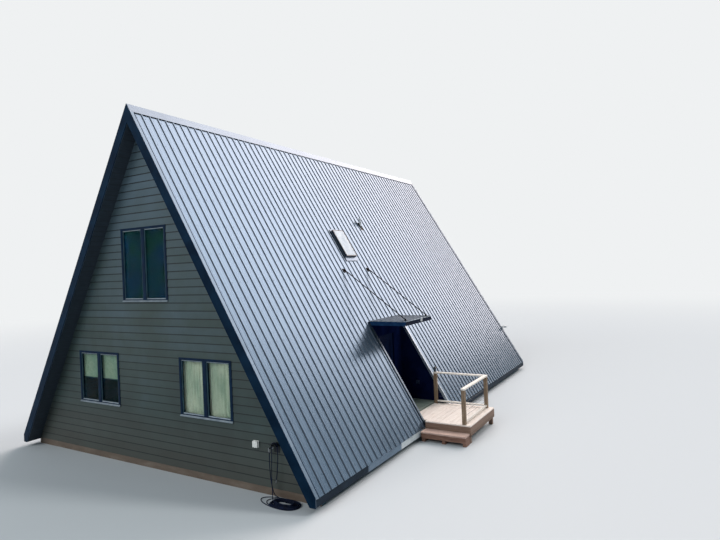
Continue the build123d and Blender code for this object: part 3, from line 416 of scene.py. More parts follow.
def lap_paint():
    """Factory-painted fibre cement lap boards: flat grey-green, lighter and bluer towards the top
    as a painted reflection of the sky, each board a little different, a pale dusting near the
    ground and a painted shade line under each lap."""
    material, tree, shader, where = new_finish("painted_lap_boards", Specular_IOR_Level=0.35)
    height = add(tree, "ShaderNodeSeparateXYZ", {"Vector": where}, take="Z")
    course = add(tree, "ShaderNodeMath", {0: height, 1: SIDING_BOTTOM}, operation="SUBTRACT")
    course = add(tree, "ShaderNodeMath", {0: course, 1: BOARD_SHOW}, operation="DIVIDE")
    number = add(tree, "ShaderNodeMath", {0: course}, operation="FLOOR")
    within = add(tree, "ShaderNodeMath", {0: course}, operation="FRACT")
    tone = add(tree, "ShaderNodeTexWhiteNoise", {"W": number}, noise_dimensions="1D")
    along = add(tree, "ShaderNodeMapping", {"Vector": where, "Scale": (0.08, 1, 1)})
    streaks = add(tree, "ShaderNodeTexNoise", {
        "Vector": along, "Scale": 55.0, "Detail": 5.0, "Roughness": 0.65,
    })
    clouds = add(tree, "ShaderNodeTexNoise", {
        "Vector": where, "Scale": 0.9, "Detail": 4.0, "Roughness": 0.55,
    })
    mix = add(tree, "ShaderNodeMath", {0: clouds, 1: 0.34, 2: 0.33}, operation="MULTIPLY_ADD")
    # the height term makes the paint lighter and bluer towards the top, a painted reflection of the sky
    for part, share in ((tone, 0.07), (streaks, 0.12), (height, 0.040)):
        mix = add(tree, "ShaderNodeMath", {0: part, 1: share, 2: mix}, operation="MULTIPLY_ADD")
    paint = add(tree, "ShaderNodeValToRGB", {"Fac": mix}, [
        (0.50, "262f2f"), (0.94, "4a5e6a"), (0.70, "364645"),
    ])
    splashed = add(tree, "ShaderNodeMapRange", {
        "Value": height, "From Min": 0.1, "From Max": 1.5, "To Min": 0.5, "To Max": 0.0,
    })
    # painted shade: a dark band at the top of each board, under the next board's butt
    painted_lap_shade = add(tree, "ShaderNodeMapRange", {
        "Value": within, "From Min": 0.81, "From Max": 0.93, "To Min": 0.0, "To Max": 0.92,
    }, interpolation_type="SMOOTHSTEP")
    for share, dirt_and_shade_colour in ((splashed, "54524b"), (painted_lap_shade, "10171b")):
        paint = add(tree, "ShaderNodeMix", {"Factor": share, 6: paint, 7: linear(dirt_and_shade_colour)}, **COLOUR_MIX)
    surface(tree, shader, paint, streaks, (0.52, 0.68), streaks, 0.5, 0.0008, (0.3, 0.7))
    return material


def rib_places(tree, where):
    """Metres along the ridge from a place to the middle of its nearest rib."""
    place = add(tree, "ShaderNodeSeparateXYZ", {"Vector": where}, take="Y")
    for operation, value in (
        ("ADD", ROOF_HALF - RIB_FIRST), ("DIVIDE", RIB_PITCH), ("PINGPONG", 0.5), ("MULTIPLY", RIB_PITCH),
    ):
        place = add(tree, "ShaderNodeMath", {0: place, 1: value}, operation=operation)
    return place


def roof_paint():
    """Roll-formed steel with a satin slate-blue metallic paint that goes pale where it mirrors
    the sky: two pencil ribs in each pan drawn as painted shade lines, rain streaks, and painted
    shade on the ribs' flanks."""
    material, tree, shader, where = new_finish("painted_roofing_steel")
    down = add(tree, "ShaderNodeMapping", {"Vector": where, "Scale": (0.12, 1, 0.12)})
    streaks = add(tree, "ShaderNodeTexNoise", {
        "Vector": down, "Scale": 16.0, "Detail": 3.0, "Roughness": 0.5,
    })
    clouds = add(tree, "ShaderNodeTexNoise", {
        "Vector": where, "Scale": 0.9, "Detail": 3.0, "Roughness": 0.5,
    })
    faint = add(tree, "ShaderNodeMath", {0: clouds, 1: 0.4, 2: 0.3}, operation="MULTIPLY_ADD")
    mix = add(tree, "ShaderNodeMath", {0: streaks, 1: 0.5, 2: faint}, operation="MULTIPLY_ADD")
    paint = add(tree, "ShaderNodeValToRGB", {"Fac": mix}, [
        (0.5, "566a7d"), (1.0, "627689"), (0.75, "5c7083"),
    ])
    off_rib = rib_places(tree, where)
    off_pencil = add(tree, "ShaderNodeMath", {0: off_rib, 1: PENCIL_RIB}, operation="SUBTRACT")
    off_pencil = add(tree, "ShaderNodeMath", {0: off_pencil}, operation="ABSOLUTE")
    # painted shade: each pencil rib is drawn as a dark line in the paint
    pencil = add(tree, "ShaderNodeMapRange", {
        "Value": off_pencil, "From Min": 0.004, "From Max": 0.010, "To Min": 0.30, "To Max": 0.0,
    })
    # a rib's top is 22 mm wide and its foot 60 mm, and its flank lies between them
    past_top = add(tree, "ShaderNodeMapRange", {"Value": off_rib, "From Min": 0.0095, "From Max": 0.0120})
    before_pan = add(tree, "ShaderNodeMapRange", {
        "Value": off_rib, "From Min": 0.0300, "From Max": 0.0350, "To Min": 1.0, "To Max": 0.0,
    })
    flank = add(tree, "ShaderNodeMath", {0: past_top, 1: before_pan}, operation="MULTIPLY")
    # painted shade on the rib flanks: darker paint mixed in below, with less metal and more roughness
    painted_flank_shade = add(tree, "ShaderNodeMath", {0: flank, 1: 0.9}, operation="MULTIPLY")
    for share, dirt_and_shade_colour in ((pencil, "36434f"), (painted_flank_shade, "1d2a39")):
        paint = add(tree, "ShaderNodeMix", {"Factor": share, 6: paint, 7: linear(dirt_and_shade_colour)}, **COLOUR_MIX)
    metal = add(tree, "ShaderNodeMapRange", {"Value": flank, "To Min": 0.84, "To Max": 0.25})
    satin = add(tree, "ShaderNodeMapRange", {
        "Value": mix, "From Min": 0.5, "From Max": 1.0, "To Min": 0.25, "To Max": 0.30,
    })
    gloss = add(tree, "ShaderNodeMath", {0: flank, 1: 0.35, 2: satin}, operation="MULTIPLY_ADD")
    waves = add(tree, "ShaderNodeTexNoise", {"Vector": down, "Scale": 5.0, "Detail": 1.0})
    raised = add(tree, "ShaderNodeBump", {"Height": waves, "Strength": 0.2, "Distance": 0.0008})
    for name, output in (
        ("Base Color", paint), ("Metallic", metal), ("Roughness", gloss), ("Normal", raised),
    ):
        tree.links.new(output, shader.inputs[name])
    return material


def shell_boards():
    """Roof panels and gable framing: dark soffit boards under the overhangs, and lining boards
    inside in a dark blue-green that is painted shade of the closed rooms and painted reflection
    seen through the panes, each with a dark joint."""
    material, tree, shader, where = new_finish("boarded_shell")
    place = add(tree, "ShaderNodeSeparateXYZ", {"Vector": where}).node.outputs
    far = add(tree, "ShaderNodeMath", {0: place["Y"]}, operation="ABSOLUTE")
    outside = add(tree, "ShaderNodeMath", {0: far, 1: WALL_FACE_Y}, operation="GREATER_THAN")
    along = add(tree, "ShaderNodeMapping", {"Vector": where, "Scale": (1, 0.06, 1)})
    grain = add(tree, "ShaderNodeTexNoise", {"Vector": along, "Scale": 60.0, "Detail": 4.0})
    # painted shade and reflection: the lining's dark teal
    lining = add(tree, "ShaderNodeValToRGB", {"Fac": grain}, [(0.3, "12404e"), (0.7, "1d5568")])
    soffit = add(tree, "ShaderNodeValToRGB", {"Fac": grain}, [(0.3, "1d2833"), (0.7, "2c3a46")])
    board = add(tree, "ShaderNodeMath", {0: place["Z"], 1: 1 / (LINING_BOARD * SIN)}, operation="MULTIPLY")
    board = add(tree, "ShaderNodeMath", {0: board}, operation="FRACT")
    joint = add(tree, "ShaderNodeMath", {0: board, 1: 0.05}, operation="LESS_THAN")
    colour = add(tree, "ShaderNodeMix", {"Factor": outside, 6: lining, 7: soffit}, **COLOUR_MIX)
    colour = add(tree, "ShaderNodeMix", {"Factor": joint, 6: colour, 7: linear("0c171d")}, **COLOUR_MIX)
    depth = add(tree, "ShaderNodeMath", {0: joint, 1: -1.0, 2: grain}, operation="MULTIPLY_ADD")
    surface(tree, shader, colour, grain, (0.5, 0.75), depth, 0.5, 0.002)
    return material


def window_pane():
    """Float glass in sealed double panes: clear with a green-blue tint, slightly wavy, with a
    patchy blue-green sheen that is a painted reflection, strongest on the upper front panes."""
    material, tree, shader, where = new_finish(
        "double_glazing", Transmission_Weight=1.0, IOR=1.09, Sheen_Roughness=0.5
    )
    dust_and_sheen = add(tree, "ShaderNodeTexNoise", {"Vector": where, "Scale": 3.0, "Detail": 6.0})
    tint = add(tree, "ShaderNodeValToRGB", {"Fac": dust_and_sheen}, [(0.3, "ccd7d1"), (0.7, "dae1dc")])
    spots = add(tree, "ShaderNodeTexNoise", {"Vector": where, "Scale": 2.4, "Detail": 4.0})
    # painted reflection: the sheen's teal and blue tints stand in for what the panes mirror
    painted_reflection_tint = add(tree, "ShaderNodeValToRGB", {"Fac": spots}, [(0.4, "147f66"), (0.6, "2b86c6")])
    tree.links.new(painted_reflection_tint, shader.inputs["Sheen Tint"])
    place = add(tree, "ShaderNodeSeparateXYZ", {"Vector": where}).node.outputs
    # painted reflection: the sheen is strongest high up, weaker on the back panes, and patchy with the same
    # noise as the tint
    painted_reflection_share = add(tree, "ShaderNodeMapRange", {
        "Value": place["Z"], "From Min": 2.7, "From Max": 3.9, "To Min": 0.3, "To Max": 1.9,
    })
    back = add(tree, "ShaderNodeMapRange", {
        "Value": place["Y"], "From Min": -7.0, "From Max": 7.0, "To Min": 1.0, "To Max": 0.2,
    })
    for share in (back, dust_and_sheen):
        painted_reflection_share = add(tree, "ShaderNodeMath", {0: painted_reflection_share, 1: share}, operation="MULTIPLY")
    tree.links.new(painted_reflection_share, shader.inputs["Sheen Weight"])
    wave = add(tree, "ShaderNodeTexNoise", {"Vector": where, "Scale": 2.2, "Detail": 1.0})
    surface(tree, shader, tint, dust_and_sheen, (0.0, 0.006), wave, 0.15, 0.003)
    return material


def woven_cloth(name, colours, thread_mm, shaded, **values):
    """Plain-woven cloth on its own UV map in metres: two crossed sets of threads with slubs,
    drawn coarser than real so that the weave still shows, and soft stains of the shaded colour."""
    material, tree, shader, where = new_finish(name, **values)
    flat = where.node.outputs["UV"]
    warp, weft = [add(tree, "ShaderNodeTexWave", {
        "Vector": flat, "Scale": 1000 / thread_mm / 20, "Distortion": 0.6, "Detail": 1.0,
    }, take="Fac", bands_direction=axis) for axis in ("X", "Y")]
    weave = add(tree, "ShaderNodeMath", {0: warp, 1: weft}, operation="MULTIPLY")
    slubs = add(tree, "ShaderNodeTexNoise", {"Vector": flat, "Scale": 14.0, "Detail": 5.0})
    mix = add(tree, "ShaderNodeMath", {0: weave, 1: 0.25, 2: slubs}, operation="MULTIPLY_ADD")
    colour = add(tree, "ShaderNodeValToRGB", {"Fac": mix}, [(0.35, colours[0]), (0.8, colours[1])])
    drawn = add(tree, "ShaderNodeMapping", {"Vector": flat, "Scale": (1.0, 0.45, 1.0)})
    stains = add(tree, "ShaderNodeTexNoise", {"Vector": drawn, "Scale": 2.6, "Detail": 1.0})
    stained = add(tree, "ShaderNodeMapRange", {"Value": stains, "From Min": 0.3, "From Max": 0.7})
    colour = add(tree, "ShaderNodeMix", {
        "Factor": stained, 6: colour, 7: linear(shaded),
    }, **COLOUR_MIX)
    surface(tree, shader, colour, mix, (0.8, 0.95), weave, 0.4, 0.0006)
    return material


def rake_steel():
    """Bent rake trim: the flange that laps the roof has the roof's paint and a painted shade line
    along its hem, and the deep fascia below it is almost black blue, with handling marks."""
    material, tree, shader, where = new_finish("rake_trim_steel", Specular_IOR_Level=0.03)
    far = add(tree, "ShaderNodeSeparateXYZ", {"Vector": where}, take="Y")
    far = add(tree, "ShaderNodeMath", {0: far}, operation="ABSOLUTE")
    fascia = add(tree, "ShaderNodeMath", {0: far, 1: RAKE_FOLD}, operation="GREATER_THAN")
    # painted shade: a dark line along the flange's hem
    hem = add(tree, "ShaderNodeMath", {0: far, 1: RAKE_HEM}, operation="LESS_THAN")
    dark_fascia_and_hem_shade = add(tree, "ShaderNodeMath", {0: fascia, 1: hem}, operation="MAXIMUM")
    marks = add(tree, "ShaderNodeTexNoise", {"Vector": where, "Scale": 3.0, "Detail": 6.0})
    light = add(tree, "ShaderNodeValToRGB", {"Fac": marks}, [(0.35, "5d6e7e"), (0.7, "697a8a")])
    dark = add(tree, "ShaderNodeValToRGB", {"Fac": marks}, [(0.35, "071b2e"), (0.7, "0f293f")])
    colour = add(tree, "ShaderNodeMix", {"Factor": dark_fascia_and_hem_shade, 6: light, 7: dark}, **COLOUR_MIX)
    metal = add(tree, "ShaderNodeMapRange", {"Value": dark_fascia_and_hem_shade, "To Min": 0.85, "To Max": 0.1})
    tree.links.new(metal, shader.inputs["Metallic"])
    surface(tree, shader, colour, marks, (0.28, 0.5), marks, 0.3, 0.002)
    return material


def off_slope(tree, where):
    """Height of a place over the right slope's pans."""
    place = add(tree, "ShaderNodeSeparateXYZ", {"Vector": where}).node.outputs
    sunk = add(tree, "ShaderNodeMath", {0: place["Z"], 1: COS, 2: -RIDGE_Z * COS}, operation="MULTIPLY_ADD")
    return add(tree, "ShaderNodeMath", {0: place["X"], 1: SIN, 2: sunk}, operation="MULTIPLY_ADD")


def two_tone(name, above, below, split_at, patch_mm, rough, metal):
    """Part that stands on the roof: one finish up to a height over the pans, another above."""
    material, tree, shader, where = new_finish(name, Specular_IOR_Level=0.35)
    marks = add(tree, "ShaderNodeTexNoise", {"Vector": where, "Scale": 1000 / patch_mm, "Detail": 5.0})
    upper, lower = [
        add(tree, "ShaderNodeValToRGB", {"Fac": marks}, [(0.35, pair[0]), (0.7, pair[1])])
        for pair in (above, below)
    ]
    high = add(tree, "ShaderNodeMath", {0: off_slope(tree, where), 1: split_at}, operation="GREATER_THAN")
    colour = add(tree, "ShaderNodeMix", {"Factor": high, 6: lower, 7: upper}, **COLOUR_MIX)
    metallic = add(tree, "ShaderNodeMapRange", {"Value": high, "To Min": metal[1], "To Max": metal[0]})
    tree.links.new(metallic, shader.inputs["Metallic"])
    surface(tree, shader, colour, marks, rough, marks, 0.3, 0.0006)
    return material


def split_finish(name, split_at, inner, outer, grain_mm, rough, **values):
    """Finish of one colour up to a distance to the right, and of another beyond it."""
    material, tree, shader, where = new_finish(name, **values)
    right = add(tree, "ShaderNodeSeparateXYZ", {"Vector": where}, take="X")
    beyond = add(tree, "ShaderNodeMath", {0: right, 1: split_at}, operation="GREATER_THAN")
    grain = add(tree, "ShaderNodeTexNoise", {"Vector": where, "Scale": 1000 / grain_mm, "Detail": 4.0})
    near, far = [
        add(tree, "ShaderNodeValToRGB", {"Fac": grain}, [(0.3, pair[0]), (0.7, pair[1])])
        for pair in (inner, outer)
    ]
    colour = add(tree, "ShaderNodeMix", {"Factor": beyond, 6: near, 7: far}, **COLOUR_MIX)
    surface(tree, shader, colour, grain, rough, grain, 0.2, 0.0002)
    return material


ROOF_STEEL = roof_paint()
RAKE_STEEL = rake_steel()
SHELL_BOARDS = shell_boards()
LAP_BOARDS = lap_paint()
PANE_GLASS = window_pane()
# Bent and painted trim in the roof's colour, with handling marks
TRIM_STEEL = weathered(
    "painted_trim_steel", ("54626f", "5c6a78", "657381"), 700, 30, (0.28, 0.35), Metallic=0.92
)
# Fascia at the eaves, painted board gone dull
EAVE_PAINT = weathered(
    "dark_fascia_paint", ("101c28", "1a2734", "263542"), 300, 12, (0.5, 0.65), Specular_IOR_Level=0.1
)
# Two replaced lengths of the eave board, one in grey primer and one in white
GREY_PAINT = weathered("grey_board_paint", ("52677a", "60758a", "708598"), 260, 10, (0.45, 0.6))
WHITE_PAINT = weathered("white_board_paint", ("b4c0c6", "ccd5d9", "dfe6e8"), 240, 10, (0.4, 0.55))
# Skirt boards splashed with dry soil
SKIRT_PAINT = weathered(
    "splashed_skirt_board", ("594d42", "6a5d51", "7b6f64"), 180, 8, (0.65, 0.8), stretch=(0.3, 1, 1)
)
# Poured concrete with fine pits
CONCRETE = weathered("poured_concrete", ("7b7a76", "8f8d88", "a3a19b"), 350, 6, (0.75, 0.9), 0.8)
# Planed boards, dull, dark blue-green as painted shade of the closed rooms
PLANED_FLOOR = timber("stained_floor_boards", ("0f1e22", "172a2e", "20383b"), "Y", 18, (0.5, 0.65), 140, "X")
# Navy paint in the recess, smooth and dull, darkened to blue-black as painted shade
RECESS_SHADE_PAINT = weathered(
    "recess_paint", ("050b26", "0a1333", "101b40"), 420, 9, (0.6, 0.75), 0.2, Specular_IOR_Level=0.0
)
# Brushed enamel on the door, a little smoother than the wall round it, and like it darkened to blue-black as
# painted shade
DOOR_SHADE_ENAMEL = weathered(
    "door_enamel", ("060f28", "0b1733", "122040"), 350, 7, (0.5, 0.65), 0.15, Specular_IOR_Level=0.02
)
# Floated concrete, green-grey, darkened as painted shade of the recess
LANDING_STONE = weathered("landing_concrete", ("59655f", "6b7770", "7c877f"), 260, 5, (0.6, 0.8), 0.6)
# Navy fascia, painted nearly black on its outer face across the front as painted shade
CANOPY_PAINT = split_finish(
    "canopy_fascia_paint", 4.38, ("122c4d", "1d3e63"), ("070f1e", "0f1c33"), 120, (0.5, 0.65),
    Specular_IOR_Level=0.04,
)
# Sheet on the canopy, duller and paler than its ribs
CANOPY_SHEET = weathered(
    "canopy_sheet_steel", ("6b7b89", "8b9aa8", "aebcc8"), 120, 14, (0.3, 0.42), 0.3, Metallic=0.7
)
# Matt black rods, rubbed to dark grey at the eyes
ROD_STEEL = weathered(
    "black_rod_steel", ("030405", "07090c", "0e1216"), 60, 5, (0.7, 0.85), Specular_IOR_Level=0.15
)
# Milky acrylic dome sheet, near white as a painted reflection of the sky
SKYLIGHT_SKY_REFLECTION = weathered(
    "milky_acrylic", ("abbfcd", "bfcfdc", "d6e4ec"), 260, 20, (0.25, 0.35), 0.1, Specular_IOR_Level=0.15
)
# Powder-coated window frames, almost black with a blue cast
FRAME_COAT = weathered(
    "frame_powder_coat", ("07182b", "0c2138", "122c45"), 300, 4, (0.45, 0.6), 0.12, Specular_IOR_Level=0.08
)
# Slim sashes in a paler, greener coat
SASH_COAT = weathered(
    "sash_powder_coat", ("1d3440", "284350", "355462"), 260, 4, (0.45, 0.6), 0.12, Specular_IOR_Level=0.25
)
# Bare aluminium sill and bead that pick up the sky
SILL_METAL = weathered(
    "mill_aluminium", ("6d7b86", "82909a", "98a5ae"), 160, 6, (0.35, 0.5), 0.1, Metallic=0.6
)
# Deck boards bleached by the sun, a little pink where they are fresh
DECK_WOOD = timber(
    "bleached_deck_boards", ("cfc3b8", "e2d9d1", "efe9e3"), "Y", 16, (0.65, 0.8), 145, "X", 0.07
)
# Pressure-treated boards round the deck, gone brown
RIM_WOOD = timber("treated_rim_boards", ("4e3c2e", "695446", "846c5d"), "X", 18, (0.65, 0.8), 140, "Z")
# Step in a reddish stain, its riser and stringers darker than its tread
STEP_WOOD = timber(
    "stained_step_boards", ("9a7c70", "b89c90", "cfb5a9"), "X", 18, (0.6, 0.75), 130, "Z", 0.1,
    below=(0.2235, ("573b2f", "735243", "8f7060")),
)
# Posts of the same treated wood, and rails bleached nearly white
POST_WOOD = timber("treated_posts", ("5a4938", "7d6a55", "9c8870"), "Z", 20, (0.6, 0.8))
RAIL_WOOD = timber("sunned_rails", ("d0cbc1", "e5e1d9", "f1eee8"), "X", 18, (0.6, 0.75))
# Drawn stainless wire, dulled by weather
CABLE_STEEL = weathered("stainless_cable", ("33383d", "43494e", "565c61"), 40, 2, (0.4, 0.5), Metallic=0.8)
# Lamps: black enamel, glass with seeds in it, white enamel
LAMP_DARK = weathered(
    "lantern_enamel", ("06090d", "0c1116", "151b21"), 80, 4, (0.4, 0.55), Specular_IOR_Level=0.3
)
LAMP_GLASS = weathered("seeded_lantern_glass", ("34404a", "44525c", "56656f"), 30, 4, (0.08, 0.16), 0.3)
LAMP_WHITE = weathered("white_lamp_enamel", ("c4c8ca", "d6dadb", "e6e9ea"), 90, 5, (0.3, 0.42))
# Dull nickel on the tap and the hose's fittings
TAP_NICKEL = weathered(
    "nickel_plated_brass", ("5d6063", "83878a", "b4b9bb"), 30, 3, (0.22, 0.4), Metallic=1.0
)
# Powder coat on the hose's hanger, scuffed by the hose
HANGER_STEEL = weathered(
    "hanger_powder_coat", ("0a0f14", "12191f", "1c252c"), 70, 4, (0.45, 0.6), Specular_IOR_Level=0.3
)
# Ribbed vinyl hose, nearly black with a blue cast where it is dusty
HOSE_VINYL = weathered(
    "hose_vinyl", ("060c1c", "0c162b", "182644"), 90, 6, (0.5, 0.7), 0.5, Specular_IOR_Level=0.1
)
# Cream linen and a denser green-grey shade cloth
CURTAIN_CLOTH = woven_cloth("curtain_linen", ("e2e3d2", "f6f5e7"), 2.4, "adbfb0", Sheen_Weight=0.2)
SHADE_CLOTH = woven_cloth("shade_fabric", ("a0b09c", "c2cdbb"), 3.0, "84a596")
# Screw heads painted to match the sheet that they hold, and bare ones gone brown on the deck
SCREW_STEEL = weathered(
    "painted_screw_heads", ("55626f", "616f7e", "6d7b8a"), 20, 2, (0.3, 0.4), Metallic=0.9
)
DECK_SCREW = weathered(
    "weathered_deck_screws", ("5d564f", "736b63", "8a8279"), 15, 2, (0.5, 0.65), Metallic=0.5
)
# Trim along the recess's far edge, brighter than the roof as a painted highlight
HIGHLIT_EDGE_TRIM = weathered(
    "pale_edge_trim", ("7f8c9a", "94a1ae", "a9b5c1"), 400, 20, (0.3, 0.42), 0.1, Metallic=0.6
)
# Moulded covers: white on the siding, dark blue in the recess as painted shade
OUTLET_PLASTIC = split_finish(
    "outlet_polycarbonate", 3.5, ("dfe2df", "f4f5f0"), ("1a2740", "24334e"), 17, (0.4, 0.55),
    Specular_IOR_Level=0.3,
)
# Grey-white vent pipe in a black rubber boot
VENT_FINISH = two_tone(
    "vent_pipe_in_rubber", ("c9d1d8", "e0e6eb"), ("07090c", "14181c"), 0.045, 60, (0.45, 0.65), (0.0, 0.0)
)
# Dark curb on a flashing plate in the roof's paint
CURB_STEEL = two_tone(
    "curb_and_flashing", ("14202c", "22303d"), ("5c6b7b", "6b7a8a"), 0.0245, 200, (0.28, 0.45), (0.2, 0.9)
)


def dress(material, *names):
    """Gives solids their finish."""
    for name in names:
        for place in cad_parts[name].material_slots:
            place.material = material


dress(CONCRETE, "foundation")
dress(PLANED_FLOOR, "main_floor", "upper_floor")
dress(SHELL_BOARDS, "front_wall", "back_wall", "roof_left")
dress(SHELL_BOARDS, "roof_right_front", "roof_right_rear", "roof_over_entry")
dress(SKIRT_PAINT, "skirt_boards")
dress(ROOF_STEEL, "metal_roof_left", "metal_roof_right")
dress(TRIM_STEEL, "ridge_cap")
dress(RAKE_STEEL, "front_rake_trim", "back_rake_trim")
dress(EAVE_PAINT, "eave_boards")
dress(GREY_PAINT, "eave_board_grey")
dress(WHITE_PAINT, "eave_board_white")
dress(RECESS_SHADE_PAINT, "entry_wall", "entry_cheeks", "entry_door_frame")
dress(LANDING_STONE, "entry_landing")
dress(DOOR_SHADE_ENAMEL, "entry_door")
dress(CANOPY_PAINT, "canopy_frame")
dress(CANOPY_SHEET, "canopy_top")
dress(ROD_STEEL, "canopy_rods")
dress(CURB_STEEL, "skylight_curb")
dress(SKYLIGHT_SKY_REFLECTION, "skylight_glass")
dress(VENT_FINISH, "vent_pipe")
dress(FRAME_COAT, "front_window_left", "front_window_right", "front_window_upper", "back_windows")
dress(PANE_GLASS, "front_glass", "back_glass")
dress(DECK_WOOD, "porch_deck")
dress(RIM_WOOD, "porch_frame")
dress(STEP_WOOD, "porch_step")
dress(POST_WOOD, "porch_posts")
dress(RAIL_WOOD, "porch_rails")
dress(CABLE_STEEL, "porch_cables")
dress(LAMP_WHITE, "gable_lamp")
dress(TAP_NICKEL, "hose_tap", "hose_end")
dress(HANGER_STEEL, "hose_hanger")


# Pieces

def carry(piece):
    """Lets a piece ride on the cabin."""
    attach(piece, "root")
    return piece


def new_piece(name, mesh, material):
    """Object at the origin that rides on the cabin."""
    piece = link_new(name, mesh)
    if material:
        mesh.materials.append(material)
    return carry(piece)


def add_block(shape, low, high, bevel=0.002):
    """Adds a block between two corners, with its edges eased."""
    made = bmesh.ops.create_cube(shape, size=1.0)["verts"]
    for vertex in made:
        for axis in range(3):
            middle = (low[axis] + high[axis]) / 2
            vertex.co[axis] = middle + vertex.co[axis] * (high[axis] - low[axis])
    edges = list(dict.fromkeys(edge for vertex in made for edge in vertex.link_edges))
    bmesh.ops.bevel(shape, geom=edges, offset=bevel, segments=2, affect="EDGES", profile=0.6)


def add_turned(shape, centre, axis, profile, sides=20, start=0.0):
    """Adds a turned part: rings of a radius and a distance along the axis from its centre."""
    along = Vector(axis).normalized()
    across = Vector((0, 0, 1)) if abs(along.z) < 0.9 else Vector((1, 0, 0))
    across = (across - along * across.dot(along)).normalized()
    other = along.cross(across)
    rings = []
    for radius, distance in profile:
        middle = Vector(centre) + along * distance
        count = sides if radius else 1
        angles = [start + math.tau * index / sides for index in range(count)]
        rings.append([
            shape.verts.new(middle + (across * math.cos(turn) + other * math.sin(turn)) * radius)
            for turn in angles
        ])
    for low, high in zip(rings, rings[1:]):
        for index in range(sides):
            after = (index + 1) % sides
            corners = (
                low[index % len(low)], low[after % len(low)],
                high[after % len(high)], high[index % len(high)],
            )
            shape.faces.new(list(dict.fromkeys(corners)))


def add_strip(shape, near, far):
    """Adds a straight strip between the corners of its two ends."""
    ends = [[shape.verts.new(corner) for corner in end] for end in (near, far)]
    for index in range(len(near)):
        after = (index + 1) % len(near)
        shape.faces.new((ends[0][index], ends[0][after], ends[1][after], ends[1][index]))
    shape.faces.new(ends[0])
    shape.faces.new(ends[1][::-1])


def mesh_of(name, shape):
    mesh = bpy.data.meshes.new(name)
    shape.to_mesh(mesh)
    shape.free()
    return mesh


def finish_piece(name, shape, material):
    """Closes the shape into a piece, with its faces outwards and in the same order each run."""
    bmesh.ops.recalc_face_normals(shape, faces=shape.faces[:])
    shape.verts.index_update()
    in_order = sorted(shape.faces, key=lambda face: sorted(vertex.index for vertex in face.verts))
    for index, face in enumerate(in_order):
        face.index = index
    shape.faces.sort()
    return new_piece(name, mesh_of(name, shape), material)


def bars(name, boxes, material, bevel=0.002):
    """Square-sawn bars, given as low and high corners, with eased edges."""
    shape = bmesh.new()
    for low, high in boxes:
        add_block(shape, low, high, bevel)
    return finish_piece(name, shape, material)


def mirrored_to_back(front, name):
    """The same piece on the back gable, turned the right way out again."""
    shape = bmesh.new()
    shape.from_mesh(front.data)
    for vertex in shape.verts:
        vertex.co.y = -vertex.co.y
    bmesh.ops.reverse_faces(shape, faces=shape.faces[:])
    return new_piece(name, mesh_of(name, shape), front.data.materials[0])


def merged_copy(node_name):
    """Closed copy of a solid's mesh, whose loose triangles share their corners."""
    shape = bmesh.new()
    shape.from_mesh(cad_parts[node_name].data)
    bmesh.ops.remove_doubles(shape, verts=shape.verts[:], dist=1e-5)
    name = node_name + "_outline"
    return link_new(name, mesh_of(name, shape))


def node_group(name, sizes):
    """Empty geometry tree with named sizes as inputs."""
    tree = bpy.data.node_groups.new(name, "GeometryNodeTree")
    tree.interface.new_socket("Geometry", in_out="INPUT", socket_type="NodeSocketGeometry")
    tree.interface.new_socket("Geometry", in_out="OUTPUT", socket_type="NodeSocketGeometry")
    for label, kind in sizes.items():
        tree.interface.new_socket(label, in_out="INPUT", socket_type="NodeSocket" + kind)
    return tree, add(tree, "NodeGroupInput").node.outputs


def end_tree(tree, geometry, material):
    """Makes a tree's instances real, gives them their material and hands them out."""
    solid = add(tree, "GeometryNodeRealizeInstances", {"Geometry": geometry})
    painted = add(tree, "GeometryNodeSetMaterial", {"Geometry": solid, "Material": material})
    add(tree, "NodeGroupOutput", {0: painted})
    return tree


def run_tree(piece, tree, values):
    """Gives a piece the tree with these values and keeps the result as its plain mesh."""
    modifier = piece.modifiers.new("shape", "NODES")
    modifier.node_group = tree
    for socket in tree.interface.items_tree:
        if socket.in_out == "INPUT" and socket.name in values:
            modifier[socket.identifier] = values[socket.name]
    seen = piece.evaluated_get(bpy.context.evaluated_depsgraph_get())
    mesh = bpy.data.meshes.new_from_object(seen)
    piece.modifiers.clear()
    piece.data = mesh
    mesh.name = piece.name


